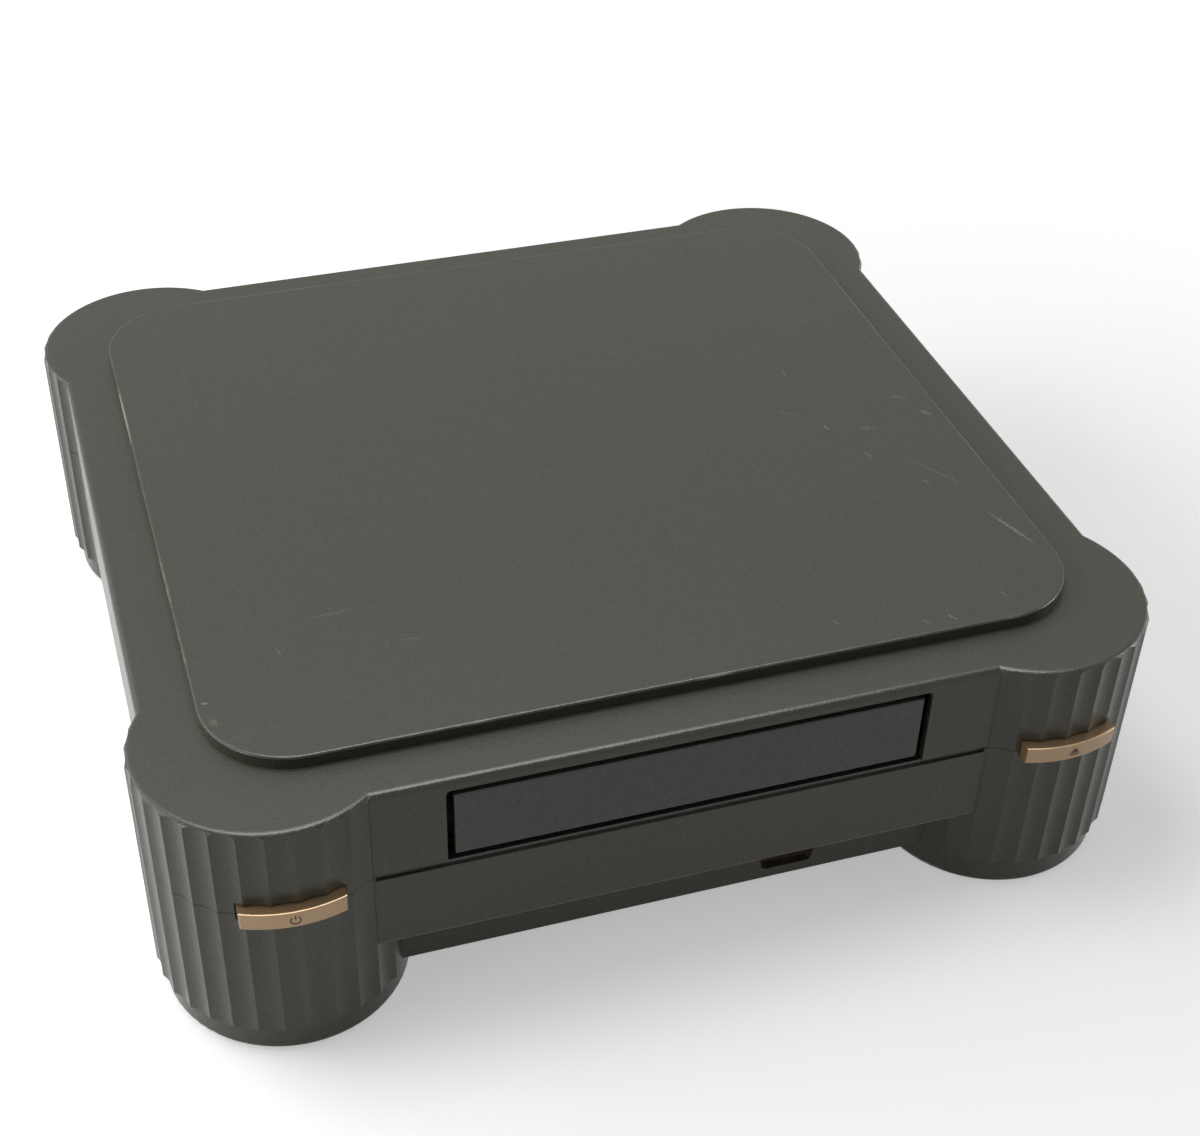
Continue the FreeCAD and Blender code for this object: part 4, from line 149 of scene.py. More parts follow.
class Finish(Tree):
    """A material for a surface, built on object coordinates."""

    def __init__(self, name, roughness=0.5, metallic=0.0, specular=0.5, coat=0.0, transmission=0.0):
        self.name = name
        self.material = bpy.data.materials.new(name)
        self.material.use_nodes = True
        super().__init__(self.material.node_tree)
        self.shader = self.tree.nodes["Principled BSDF"]
        for socket, value in (("Roughness", roughness), ("Metallic", metallic),
                              ("Specular IOR Level", specular), ("Coat Weight", coat),
                              ("Transmission Weight", transmission)):
            self.shader.inputs[socket].default_value = value
        self.place = self.tree.nodes.new("ShaderNodeTexCoord").outputs["Object"]
        self.relief = None

    def mapped(self, scale, turn=(0, 0, 0), shift=(0, 0, 0), kind="POINT"):
        """The place on the surface, scaled, turned by degrees and shifted."""
        angles = [math.radians(angle) for angle in turn]
        node = self.node("ShaderNodeMapping", {"Vector": self.place, "Scale": scale,
                                               "Rotation": angles, "Location": shift},
                         vector_type=kind)
        return node.outputs["Vector"]

    def noise(self, scale, detail=2.0, roughness=0.5, vector=None):
        node = self.node("ShaderNodeTexNoise", {"Vector": vector or self.place, "Scale": scale,
                                                "Detail": detail, "Roughness": roughness})
        return node.outputs["Fac"]

    def cells(self, scale, vector=None, randomness=1.0):
        """The distance to the middle of the nearest of many small cells."""
        node = self.node("ShaderNodeTexVoronoi", {"Vector": vector or self.place, "Scale": scale,
                                                  "Randomness": randomness})
        return node.outputs["Distance"]

    def waves(self, scale, direction):
        """Even bands across an axis."""
        node = self.node("ShaderNodeTexWave", {"Vector": self.place, "Scale": scale},
                         bands_direction=direction)
        return node.outputs["Fac"]

    def varied(self, noise, least, most):
        """A value that wanders between two others with a noise."""
        return self.span(noise, *NOISE_RANGE, least, most)

    def along(self, axis):
        """The place along an axis."""
        return self.node("ShaderNodeSeparateXYZ", {"Vector": self.place}).outputs[axis]

    def away(self, axis, middle_place=0.0):
        """The distance along an axis from a place on it, on either side."""
        return self.maths("ABSOLUTE", self.maths("SUBTRACT", self.along(axis), middle_place))

    def facing(self, axis):
        """How far the surface faces along an axis, one way or the other: 0 to 1."""
        normal = self.node("ShaderNodeNewGeometry", {}).outputs["Normal"]
        share = self.node("ShaderNodeSeparateXYZ", {"Vector": normal}).outputs[axis]
        return self.maths("ABSOLUTE", share)

    def ellipse(self, centre, halves, turn):
        """1 inside an ellipse that lies in the XY plane, falling to 0 at its rim."""
        place = self.mapped(halves, (0, 0, turn), centre, "TEXTURE")
        return self.span(self.length(place), ELLIPSE_CORE, 1.0, 1.0, 0.0)

    def mix(self, share, first, second):
        """The first colour at a share of 0, the second at 1."""
        node = self.node("ShaderNodeMix", {"Factor": share, "A": first, "B": second},
                         data_type="RGBA")
        return node.outputs["Result"]

    def base(self):
        """The colour as it stands, for more to be mixed into it."""
        return self.shader.inputs["Base Color"].links[0].from_socket

    def colour(self, value):
        self.link(value, self.shader.inputs["Base Color"])
        return self

    def rough(self, value):
        self.link(value, self.shader.inputs["Roughness"])
        return self

    def bump(self, height, distance, strength=1.0):
        """Fine relief, added to what is there already."""
        node = self.node("ShaderNodeBump", {"Strength": strength, "Distance": distance,
                                            "Height": height})
        if self.relief:
            self.link(self.relief, node.inputs["Normal"])
        self.relief = node.outputs["Normal"]
        self.link(self.relief, self.shader.inputs["Normal"])
        return self


CLOUD_SCALE = 18
FLECK_SCALE = 1300
# Colours of marks are factors on the colour round them
DARK_FLECK = 0.6
PALE_FLECK = 1.6


def moulded(name, colour, roughness=0.5, grain=0.06, cell=1800, mottle=0.1, specular=0.4,
            speckle=0.4):
    """Injection-moulded plastic with an eroded grain, cloudiness and fine flecks.

    The grain's depth is in millimetres; mottle and speckle are strengths.
    """
    finish = Finish(name, roughness=roughness, specular=specular)
    cloud = finish.noise(CLOUD_SCALE, detail=4)
    fleck = finish.noise(FLECK_SCALE, detail=2)
    base = finish.mix(cloud, scaled(colour, 1 - mottle), scaled(colour, 1 + mottle))
    dark = finish.span(fleck, 0.3, 0.5, speckle, 0.0)
    base = finish.mix(dark, base, scaled(colour, DARK_FLECK))
    pale = finish.span(fleck, 0.5, 0.75, 0.0, speckle)
    finish.colour(finish.mix(pale, base, scaled(colour, PALE_FLECK)))
    finish.rough(finish.varied(cloud, roughness - 0.05, roughness + 0.05))
    return finish.bump(finish.cells(cell), grain * MM, 0.5)


# Hairlines all over the case: direction in degrees, noise scale, noise value that shows
HAIRLINES = ((24, 9, 0.74), (-38, 7, 0.76), (71, 8, 0.77))
HAIRLINE_STRETCH = (90, 2.2, 6)
HAIRLINE_EDGE = 0.05
HAIRLINE_STRENGTH = 0.5
HAIRLINE_COLOUR = 2.4
PATCH_SCALE = 14
DUST_SCALE = 60
DUST_STRENGTH = 0.3
DUST_COLOUR = 1.7
UPRIGHT_ROUGHNESS = 0.27
LEVEL_ROUGHNESS = 0.42


def case_finish(name, colour, scuffed):
    """The case's dark grey plastic: fine leather grain, hairlines in patches and pale dust.

    Level surfaces are duller than upright ones.
    """
    finish = moulded(name, colour, roughness=0.36, grain=0.07, cell=1500, mottle=0.05,
                     specular=0.3)
    lines = []
    for turn, scale, limit in HAIRLINES:
        place = finish.mapped(HAIRLINE_STRETCH, turn=(0, 0, turn), shift=(turn, 0, 0))
        streak = finish.noise(scale, detail=1, vector=place)
        lines.append(finish.span(streak, limit, limit + HAIRLINE_EDGE))
    patches = finish.span(finish.noise(PATCH_SCALE, detail=3), 0.46, 0.62)
    hairlines = finish.maths("MULTIPLY", finish.combined("MAXIMUM", lines), patches)
    hairlines = finish.maths("MULTIPLY", hairlines, HAIRLINE_STRENGTH * scuffed)
    base = finish.mix(hairlines, finish.base(), scaled(colour, HAIRLINE_COLOUR))
    dust = finish.noise(DUST_SCALE, detail=5, roughness=0.65)
    dust = finish.span(dust, 0.58, 0.78, 0.0, DUST_STRENGTH * scuffed)
    finish.colour(finish.mix(dust, base, scaled(colour, DUST_COLOUR)))
    return finish.rough(finish.span(finish.facing("Z"), 0.9, 1.0,
                                    UPRIGHT_ROUGHNESS, LEVEL_ROUGHNESS))


# Scratches and rubbed spots on the plate: centre, half length and half width in millimetres,
# angle in degrees, strength
SCRATCHES = (
    (121, -79, 11.7, 0.9, -71, 1.0),
    (112, -46, 14.5, 0.3, -58, 0.6),
    (123, -14, 2.7, 1.2, -57, 1.0),
    (88, -13, 2.2, 0.6, -82, 0.8),
    (101, -17, 2.8, 1.2, -28, 0.5),
    (95, -31, 2.6, 0.6, -76, 0.6),
    (106, -49, 2.3, 0.4, -44, 0.6),
    (85, -113, 2.5, 0.6, -56, 0.9),
    (104, -107, 2.1, 0.4, -67, 0.6),
    (52, -106, 2.5, 0.4, -61, 0.5),
    (87, 21, 3.1, 0.4, -103, 0.6),
    (79, -2, 4.7, 0.3, -38, 0.6),
    (118, -3, 3.3, 1.2, -26, 0.4),
    (77, -113, 2.4, 0.4, -58, 0.5),
    (105, 50, 2.0, 0.4, -36, 0.4),
    (-126, -90, 1.4, 0.6, -16, 1.0),
    (-125, -98, 1.9, 1.2, -74, 0.6),
    (-103, -74, 2.7, 0.4, -77, 0.4),
    (-86, -62, 7.7, 0.6, 2, 0.4),
    (-66, -79, 3.5, 0.4, -6, 0.5),
)
SCRATCH_HALF_HEIGHT = 1.5 * MM
SCRATCH_STRENGTH = 0.55
SCRATCH_BREAK_SCALE = 1100
PLATE_RUB_SCALE = 45
PLATE_RUB_STRENGTH = 0.7
PLATE_RUB_WIDTH = 0.9 * MM
# The rub fades out between these two depths under the plate's top
PLATE_RUB_DEPTHS = (0.8 * MM, 0.4 * MM)
# The painted highlight along the front band's lower edge: its strength
BAND_HIGHLIGHT_STRENGTH = 0.3
# The painted highlight's line is full within the first of these and gone at the second
BAND_HIGHLIGHT_HALVES = (0.1 * MM, 0.45 * MM)
# It stays within this of the band's face and ends this far before the towers
BAND_HIGHLIGHT_REACH = (1 * MM, 1.5 * MM)
BAND_HIGHLIGHT_FADE = 1 * MM


def plate_scratches(finish):
    """The plate's scratches and spots, broken up by a fine noise."""
    marks = []
    for x, y, half_length, half_width, turn, strength in SCRATCHES:
        halves = (half_length * MM, half_width * MM, SCRATCH_HALF_HEIGHT)
        mark = finish.ellipse((x * MM, y * MM, PLATE_Z), halves, turn)
        marks.append(finish.maths("MULTIPLY", mark, SCRATCH_STRENGTH * strength))
    broken = finish.noise(SCRATCH_BREAK_SCALE, detail=3, roughness=0.7)
    broken = finish.span(broken, 0.38, 0.62)
    return finish.maths("MULTIPLY", finish.combined("MAXIMUM", marks), broken)


def plate_rub(finish):
    """The plate's upper edge, rubbed pale here and there."""
    sides = finish.span(finish.away("X"), PLATE_HALF_WIDTH - PLATE_RUB_WIDTH, PLATE_HALF_WIDTH)
    ends = finish.span(finish.away("Y", PLATE_MIDDLE_Y),
                       PLATE_HALF_DEPTH - PLATE_RUB_WIDTH, PLATE_HALF_DEPTH)
    top = finish.span(finish.along("Z"), *(PLATE_Z - depth for depth in PLATE_RUB_DEPTHS))
    places = finish.noise(PLATE_RUB_SCALE, detail=4, roughness=0.6)
    places = finish.span(places, 0.5, 0.68, 0.0, PLATE_RUB_STRENGTH)
    edge = finish.combined("MAXIMUM", (sides, ends))
    return finish.combined("MULTIPLY", (edge, top, places))


def band_edge_highlight(finish):
    """A painted highlight along the front band's lower edge, between the towers."""
    line = finish.span(finish.away("Z", BAND_BOTTOM_Z), *BAND_HIGHLIGHT_HALVES,
                       BAND_HIGHLIGHT_STRENGTH, 0.0)
    front = finish.span(finish.along("Y"), *(BAND_FRONT_Y + reach for reach in BAND_HIGHLIGHT_REACH),
                        1.0, 0.0)
    between = finish.span(finish.away("X"), JUNCTION_X - BAND_HIGHLIGHT_FADE, JUNCTION_X, 1.0, 0.0)
    return finish.combined("MULTIPLY", (line, front, between))


def worn_and_highlit(finish, pale):
    """Scratches on the plate, its rubbed edge, and a painted highlight along the lower edge of the
    front band.
    """
    share = finish.combined("MAXIMUM", (plate_scratches(finish), plate_rub(finish),
                                        band_edge_highlight(finish)))
    return finish.colour(finish.mix(share, finish.base(), pale))


# The share of the width of the parting line's painted shade that is fully dark
SEAM_CORE = 0.6


def seam_shade_line(finish, height, half, dark):
    """Painted shade in the parting line's gap: a dark line round the upright walls at a height."""
    line = finish.span(finish.away("Z", height), half * SEAM_CORE, half, 1.0, 0.0)
    upright = finish.span(finish.facing("Z"), 0.3, 0.5, 1.0, 0.0)
    share = finish.maths("MULTIPLY", line, upright)
    return finish.colour(finish.mix(share, finish.base(), dark))


ROLLING_SCALE = 40
ROLLING_STRETCH = (4, 90, 90)
TOOL_MARK_SCALE = 700


def sheet_metal(name, colour, roughness=0.35, spangle=220):
    """Plated sheet with spangle and fine rolling lines."""
    finish = Finish(name, roughness=roughness, metallic=1.0)
    patch = finish.cells(spangle)
    lines = finish.noise(ROLLING_SCALE, detail=2, vector=finish.mapped(ROLLING_STRETCH))
    finish.colour(finish.mix(patch, scaled(colour, 0.85), scaled(colour, 1.12)))
    finish.rough(finish.varied(lines, roughness - 0.08, roughness + 0.1))
    return finish.bump(lines, 0.02 * MM, 0.4)


def turned_metal(name, colour, roughness=0.28):
    """Bar stock with fine tool marks."""
    finish = Finish(name, roughness=roughness, metallic=1.0)
    marks = finish.noise(TOOL_MARK_SCALE, detail=2)
    finish.colour(finish.mix(marks, scaled(colour, 0.85), scaled(colour, 1.1)))
    finish.rough(finish.varied(marks, roughness - 0.06, roughness + 0.08))
    return finish.bump(marks, 0.01 * MM, 0.5)


TRACK_SCALE = 160
ZONE_SCALE = 28
PAD_SCALE = 240
TRACK_COLOUR = 1.7


def circuit_board(name, colour, copper):
    """Solder resist over tracks that run along X in some zones and along Y in the others."""
    finish = Finish(name, roughness=0.32, specular=0.5, coat=0.2)
    plan = finish.mapped((1, 1, 0))
    zones = finish.span(finish.cells(ZONE_SCALE, vector=plan), 0.30, 0.34)
    others = finish.maths("SUBTRACT", 1.0, zones)
    across = finish.maths("MULTIPLY", finish.waves(TRACK_SCALE, "X"), zones)
    down = finish.maths("MULTIPLY", finish.waves(TRACK_SCALE, "Y"), others)
    tracks = finish.span(finish.maths("ADD", across, down), 0.55, 0.7)
    pads = finish.cells(PAD_SCALE, vector=plan, randomness=0.4)
    pads = finish.span(pads, 0.16, 0.2, 1.0, 0.0)
    base = finish.mix(tracks, colour, scaled(colour, TRACK_COLOUR))
    finish.colour(finish.mix(pads, base, copper))
    return finish.bump(tracks, 0.04 * MM, 0.5)


SYMBOL_SHADE_SPECKLE_SCALE = 1500
FLAKE_SCALE = 2600
LACQUER_WEAR_SCALE = 120
LACQUER_GRAIN = 1500


def symbol_shade(name, colour):
    """Dark colour with faint speckle: painted shade that stands in for the hollow of an engraving.
    """
    finish = Finish(name, roughness=0.55, specular=0.3)
    speckle = finish.noise(SYMBOL_SHADE_SPECKLE_SCALE, detail=2)
    return finish.colour(finish.mix(speckle, scaled(colour, 0.8), scaled(colour, 1.1)))


def bronze_paint(name, colour):
    """Metallic lacquer with fine flakes, a soft sheen and darker patches of wear."""
    finish = Finish(name, roughness=0.32, metallic=0.5, specular=0.5, coat=0.3)
    flakes = finish.noise(FLAKE_SCALE, detail=1)
    wear = finish.span(finish.noise(LACQUER_WEAR_SCALE, detail=4), 0.6, 0.75, 0.0, 0.4)
    base = finish.mix(flakes, scaled(colour, 0.86), scaled(colour, 1.16))
    finish.colour(finish.mix(wear, base, scaled(colour, 0.75)))
    finish.rough(finish.varied(flakes, 0.28, 0.38))
    return finish.bump(finish.cells(LACQUER_GRAIN), 0.02 * MM, 0.4)


CASE_GREY = srgb(64, 63, 53)
# Pale for the plate's scratches and rubbed edge, and for the painted highlight under the front band
PALE_WEAR_AND_HIGHLIGHT = srgb(178, 175, 160)
SHADOW = srgb(18, 18, 17)
SEAM_HALF = 0.35 * MM
GLOSSY = {"roughness": 0.3, "grain": 0.01, "mottle": 0.03, "speckle": 0.06}

finishes = {finish.name: finish for finish in (
    seam_shade_line(worn_and_highlit(case_finish("case_plastic", CASE_GREY, 0.5), PALE_WEAR_AND_HIGHLIGHT),
              SEAM_Z, SEAM_HALF, SHADOW),
    case_finish("door_plastic", srgb(70, 68, 65), 0.3),
    moulded("strip_plastic", srgb(62, 62, 58), roughness=0.25, grain=0.01, cell=900),
    bronze_paint("button_bronze", srgb(158, 130, 97)),
    # The buttons' symbols: painted shade of an engraving, darker than the bronze
    symbol_shade("button_symbol_shade", srgb(92, 70, 48)),
    moulded("tray_plastic", srgb(38, 38, 38), roughness=0.5),
    moulded("mechanism_plastic", srgb(48, 48, 48), roughness=0.55, cell=1100),
    moulded("gear_plastic", srgb(226, 222, 208), roughness=0.42, grain=0.02, mottle=0.03,
            speckle=0.06),
    moulded("switch_plastic", srgb(34, 33, 32), roughness=0.42, grain=0.03),
    sheet_metal("zinc_steel", srgb(186, 188, 186)),
    turned_metal("screw_steel", srgb(168, 166, 158)),
    sheet_metal("tin_plate", srgb(206, 206, 200), roughness=0.26, spangle=90),
    sheet_metal("bronze_shell", srgb(92, 78, 62), roughness=0.42, spangle=400),
    turned_metal("contact_brass", srgb(214, 176, 96), roughness=0.25),
    moulded("rubber", srgb(26, 26, 26), roughness=0.82, grain=0.08, cell=1300, specular=0.25),
    circuit_board("board_green", srgb(22, 84, 48), srgb(196, 178, 120)),
    circuit_board("board_brown", srgb(142, 98, 50), srgb(196, 190, 170)),
    moulded("chip_black", srgb(30, 30, 31), roughness=0.6, grain=0.03, cell=2600),
    moulded("lamp_clear", srgb(196, 214, 190), roughness=0.15, grain=0.0, mottle=0.03,
            speckle=0.06),
    Finish("lens_glass", roughness=0.04, specular=0.8, transmission=0.6),
    turned_metal("magnet", srgb(74, 74, 78), roughness=0.5),
    turned_metal("core_steel", srgb(88, 84, 80), roughness=0.5),
    moulded("winding_tape", srgb(212, 172, 44), roughness=0.3, grain=0.02, mottle=0.05,
            speckle=0.06),
    moulded("capacitor_sleeve", srgb(30, 36, 70), roughness=0.25, grain=0.01, speckle=0.1),
    sheet_metal("aluminium", srgb(196, 198, 200), roughness=0.4, spangle=500),
    moulded("jack_yellow", srgb(232, 190, 36), **GLOSSY),
    moulded("jack_white", srgb(230, 230, 224), **GLOSSY),
    moulded("jack_red", srgb(190, 34, 30), **GLOSSY),
)}

# The lens has a violet cast, the core shows its sheets and the winding the turns of its tape.
LENS_CAST_SCALE = 300
CORE_SHEET_SCALE = 320
TAPE_TURN_SCALE = 70

lens = finishes["lens_glass"]
lens.colour(lens.mix(lens.noise(LENS_CAST_SCALE), srgb(96, 110, 190), srgb(150, 110, 190)))

core = finishes["core_steel"]
core.bump(core.waves(CORE_SHEET_SCALE, "Y"), 0.1 * MM, 0.6)

tape = finishes["winding_tape"]
tape.bump(tape.waves(TAPE_TURN_SCALE, "Z"), 0.1 * MM, 0.5)


def dress_nodes():
    """Gives every node of the frame the material of its slot."""
    for entry in frame["record"]["subparts"]:
        node = frame["nodes"][entry["node"]]
        node.data.materials.clear()
        node.data.materials.append(finishes[entry["material_slot"]].material)


dress_nodes()


# Small pieces

# Faces that meet at less than this angle, in degrees, are shaded as one curve
SMOOTH_ANGLE = 35
TURN_STEPS = 48


def new_piece(name, shape, finish, body, smooth=True):
    """An object of a shape, with a finish, that rides on a body."""
    mesh = bpy.data.meshes.new(name)
    shape.to_mesh(mesh)
    shape.free()
    for polygon in mesh.polygons:
        polygon.use_smooth = smooth
    piece = bpy.data.objects.new(name, mesh)
    bpy.context.scene.collection.objects.link(piece)
    mesh.materials.append(finish.material)
    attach(piece, body)
    return piece


def without_repeats(corners):
    """The corners of a face, each once: a face of four may come to a point."""
    return [corner for index, corner in enumerate(corners) if corner not in corners[:index]]


def turned_ring(shape, centre, points):
    """A closed outline of (radius, y) points turned about a line along Y through (x, z)."""
    rings = []
    for radius, y in points:
        ring = []
        for step in range(TURN_STEPS):
            angle = math.tau * step / TURN_STEPS
            ring.append(shape.verts.new((centre[0] + radius * math.cos(angle), y,
                                         centre[1] + radius * math.sin(angle))))
        rings.append(ring)
    for index, first in enumerate(rings):
        second = rings[(index + 1) % len(rings)]
        for step in range(TURN_STEPS):
            after = (step + 1) % TURN_STEPS
            shape.faces.new((first[step], first[after], second[after], second[step]))


# The symbols on the buttons

BUTTON_FACE_RADIUS = TOWER_RADIUS + BUTTON_STANDOUT
SYMBOL_DEPTH = 0.3 * MM
SYMBOL_PROUD = 0.04 * MM

RING_RADIUS = 1.35 * MM
RING_LINE = 0.42 * MM
RING_STEPS = 36
# The ring's gap on each side of its bar, in degrees
RING_GAP = 40
RING_BAR_LOW = 0.15 * RING_RADIUS
RING_BAR_HIGH = 1.35 * RING_RADIUS

TRIANGLE_HALF = 1.6 * MM
TRIANGLE_RISE = 1.9 * MM
TRIANGLE_COLUMNS = 12
# Heights from the symbol's middle
TRIANGLE_BASE = -0.35 * MM
BAR_TOP = -0.75 * MM
BAR_BOTTOM = -1.2 * MM


def wrapped(name, cells, axis, radius, finish, body):
    """Flat cells of (u, v) corners, bent round an upright line and given a thickness.

    All cells turn the same way, so a side that two of them share runs both ways.
    """
    shape = bmesh.new()
    outer, inner = {}, {}
    for bent, reach in ((outer, radius), (inner, radius - SYMBOL_DEPTH)):
        for u, v in dict.fromkeys(corner for cell in cells for corner in cell):
            angle = u / radius
            bent[u, v] = shape.verts.new((axis[0] + reach * math.sin(angle),
                                          axis[1] - reach * math.cos(angle), v))
    sides = dict.fromkeys(side for cell in cells for side in zip(cell, cell[1:] + cell[:1]))
    for cell in cells:
        shape.faces.new([outer[corner] for corner in cell])
        shape.faces.new([inner[corner] for corner in reversed(cell)])
    for first, second in sides:
        if (second, first) not in sides:
            shape.faces.new((outer[second], outer[first], inner[first], inner[second]))
    return new_piece(name, shape, finish, body, smooth=False)


def power_symbol(u0, v0):
    """A broken ring with a bar in its gap."""
    half = RING_LINE / 2
    inner, outer = RING_RADIUS - half, RING_RADIUS + half
    start, end = math.radians(90 + RING_GAP), math.radians(450 - RING_GAP)
    cells = []
    for step in range(RING_STEPS):
        first = start + (end - start) * step / RING_STEPS
        second = start + (end - start) * (step + 1) / RING_STEPS
        corners = ((inner, first), (outer, first), (outer, second), (inner, second))
        cells.append([(u0 + r * math.cos(a), v0 + r * math.sin(a)) for r, a in corners])
    bottom, top = v0 + RING_BAR_LOW, v0 + RING_BAR_HIGH
    cells.append([(u0 - half, bottom), (u0 + half, bottom), (u0 + half, top), (u0 - half, top)])
    return cells


def open_symbol(u0, v0):
    """A triangle over a bar, in columns narrow enough to follow the button's curve."""
    base, bar_top, bar_bottom = v0 + TRIANGLE_BASE, v0 + BAR_TOP, v0 + BAR_BOTTOM
    cells = []
    for column in range(TRIANGLE_COLUMNS):
        sides = [-TRIANGLE_HALF + 2 * TRIANGLE_HALF * place / TRIANGLE_COLUMNS
                 for place in (column, column + 1)]
        tops = [base + TRIANGLE_RISE * (1 - abs(side) / TRIANGLE_HALF) for side in sides]
        left, right = (u0 + side for side in sides)
        cells.append(without_repeats([(left, base), (right, base),
                                      (right, tops[1]), (left, tops[0])]))
        cells.append([(left, bar_bottom), (right, bar_bottom), (right, bar_top), (left, bar_top)])
    return cells


def button_symbols():
    """Power on the left tower's button, open and close on the right one's."""
    height = middle("power_button").z
    outward = abs(middle("power_button").x) - TOWER_X
    for name, side, draw, body in (("power_symbol", -1, power_symbol, "power_button"),
                                   ("open_symbol", 1, open_symbol, "open_button")):
        cells = draw(side * outward, height)
        # The symbols' dark colour is painted shade, standing in for an engraving's hollow
        wrapped(name, cells, (side * TOWER_X, TOWER_FRONT_Y), BUTTON_FACE_RADIUS + SYMBOL_PROUD,
                finishes["button_symbol_shade"], body)


button_symbols()


# Screws

SCREW_STEPS = 40
HEAD_RADIUS = 2.79 * MM
HEAD_HEIGHT = 2.0 * MM
# The head's rounded side, as shares of its radius and height
HEAD_OUTLINE = ((0.97, 0.0), (1.0, 0.075), (1.0, 0.5), (0.94, 0.78), (0.8, 0.95))
# The level ring round the recess, as a share of the recess's reach
HEAD_FLAT = 1.18
THREAD_PITCH = 1.1 * MM
THREAD_DEPTH = 0.25 * MM
# The blunt tip, as a share of the shank's radius
TIP_SHARE = 0.5
# Lengths of the point, of the plain neck under the head and of all that carries no thread
POINT_LENGTH = 0.8 * MM
NECK_LENGTH = 0.3 * MM
UNTHREADED = 1.2 * MM
RECESS_ARM = 1.7 * MM
RECESS_HALF = 0.42 * MM
RECESS_DEPTH = 1.2 * MM
RECESS_TAPER = 0.55
SHANK_RADIUS = 1.5 * MM
BOARD_SHANK_RADIUS = 1.2 * MM
# Points of a node closer than this belong to one screw
SCREW_REACH = 8 * MM


def screw_outline(length, radius):
    """(radius, height over the seat) from the tip to the flat of the head."""
    root = radius - THREAD_DEPTH
    outline = [(0.0, -length), (radius * TIP_SHARE, -length)]
    for turn in range(int((length - UNTHREADED) / THREAD_PITCH)):
        z = -length + POINT_LENGTH + turn * THREAD_PITCH
        outline += [(root, z), (radius, z + THREAD_PITCH * 0.5)]
    outline += [(root, -NECK_LENGTH), (root, 0.0)]
    outline += [(HEAD_RADIUS * wide, HEAD_HEIGHT * up) for wide, up in HEAD_OUTLINE]
    outline.append((RECESS_ARM * HEAD_FLAT, HEAD_HEIGHT))
    return outline


def screw(shape, place, length, radius, up):
    """Pan-head screw with a cross recess; up is 1 where the head is the upper end."""
    x, y, seat = place
    rings = []
    for r, z in screw_outline(length, radius):
        if r == 0.0:
            rings.append([shape.verts.new((x, y, seat + up * z))] * SCREW_STEPS)
            continue
        angles = [math.tau * step / SCREW_STEPS for step in range(SCREW_STEPS)]
        rings.append([shape.verts.new((x + r * math.cos(angle), y + r * math.sin(angle),
                                       seat + up * z)) for angle in angles])
    for first, second in zip(rings, rings[1:]):
        for step in range(SCREW_STEPS):
            after = (step + 1) % SCREW_STEPS
            shape.faces.new(without_repeats([first[step], first[after],
                                             second[after], second[step]]))
    arm, half = RECESS_ARM, RECESS_HALF
    cross = ((arm, -half), (arm, half), (half, half), (half, arm), (-half, arm), (-half, half),
             (-arm, half), (-arm, -half), (-half, -half), (-half, -arm), (half, -arm),
             (half, -half))
    top, floor = seat + up * HEAD_HEIGHT, seat + up * (HEAD_HEIGHT - RECESS_DEPTH)
    upper = [shape.verts.new((x + u, y + v, top)) for u, v in cross]
    lower = [shape.verts.new((x + u * RECESS_TAPER, y + v * RECESS_TAPER, floor))
             for u, v in cross]
    rim = rings[-1]
    edges = [shape.edges.get(pair) for pair in zip(rim, rim[1:] + rim[:1])]
    edges += [shape.edges.new(pair) for pair in zip(upper, upper[1:] + upper[:1])]
    bmesh.ops.triangle_fill(shape, edges=edges, use_beauty=True)
    for index in range(len(cross)):
        after = (index + 1) % len(cross)
        shape.faces.new((upper[index], upper[after], lower[after], lower[index]))
    shape.faces.new(lower)


def screw_boxes(node):
    """The lower and upper corners of each screw in a node."""
    old = frame["nodes"][node]
    groups = []
    for vertex in old.data.vertices:
        point = tuple(old.matrix_world @ vertex.co)
        for group in groups:
            if math.dist(point[:2], group[0][:2]) < SCREW_REACH:
                group.append(point)
                break
        else:
            groups.append([point])
    return [([min(values) for values in zip(*group)], [max(values) for values in zip(*group)])
            for group in groups]


def screw_set(node, radius, up, body):
    """Screws with threads and recesses where a node has its plain ones."""
    shape = bmesh.new()
    for lower, upper in screw_boxes(node):
        seat = upper[2] - HEAD_HEIGHT if up > 0 else lower[2] + HEAD_HEIGHT
        place = ((lower[0] + upper[0]) / 2, (lower[1] + upper[1]) / 2, seat)
        screw(shape, place, upper[2] - lower[2] - HEAD_HEIGHT, radius, up)
    bmesh.ops.recalc_face_normals(shape, faces=shape.faces[:])
    piece = new_piece(node + "_cross", shape, finishes["screw_steel"], body)
    piece.data.set_sharp_from_angle(angle=math.radians(SMOOTH_ANGLE))
    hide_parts(node)


screw_set("case_screws", SHANK_RADIUS, -1, "case")
screw_set("chassis_screws", SHANK_RADIUS, 1, "case")
screw_set("board_screws", BOARD_SHANK_RADIUS, 1, "case")
screw_set("damper_screws", SHANK_RADIUS, 1, "lift")


# Rear connectors

# The outer face of the bay's wall
BAY_Y = 133.6 * MM
SOCKET_Z = middle("channel_switch").z
JACK_TIP = high("video_jack").y
AERIAL_TIP = high("rf_modulator").y
AERIAL_PITCH = 24 * MM
# The switch rests at one end of its travel, half of it away from its middle
SWITCH_TRAVEL = 3 * MM

# The sleeve of a phono jack: the radii of its bore, its outside and the two edges of its lip,
# its gap to the wall, and how deep its bevel and its lip reach from the jack's tip
SLEEVE_BORE = 4.1 * MM
SLEEVE_RADIUS = 4.35 * MM
SLEEVE_LIP = 3.5 * MM
SLEEVE_LIP_INNER = 3.45 * MM
SLEEVE_GAP = 0.2 * MM
SLEEVE_BEVEL = 0.3 * MM
SLEEVE_LIP_DEPTH = 0.1 * MM

# How far a plated face stands in front of the face of its solid
SLEEVE_PROUD = 0.08 * MM
JACK_CONTACT_PROUD = 0.05 * MM
S_VIDEO_PROUD = 0.06 * MM

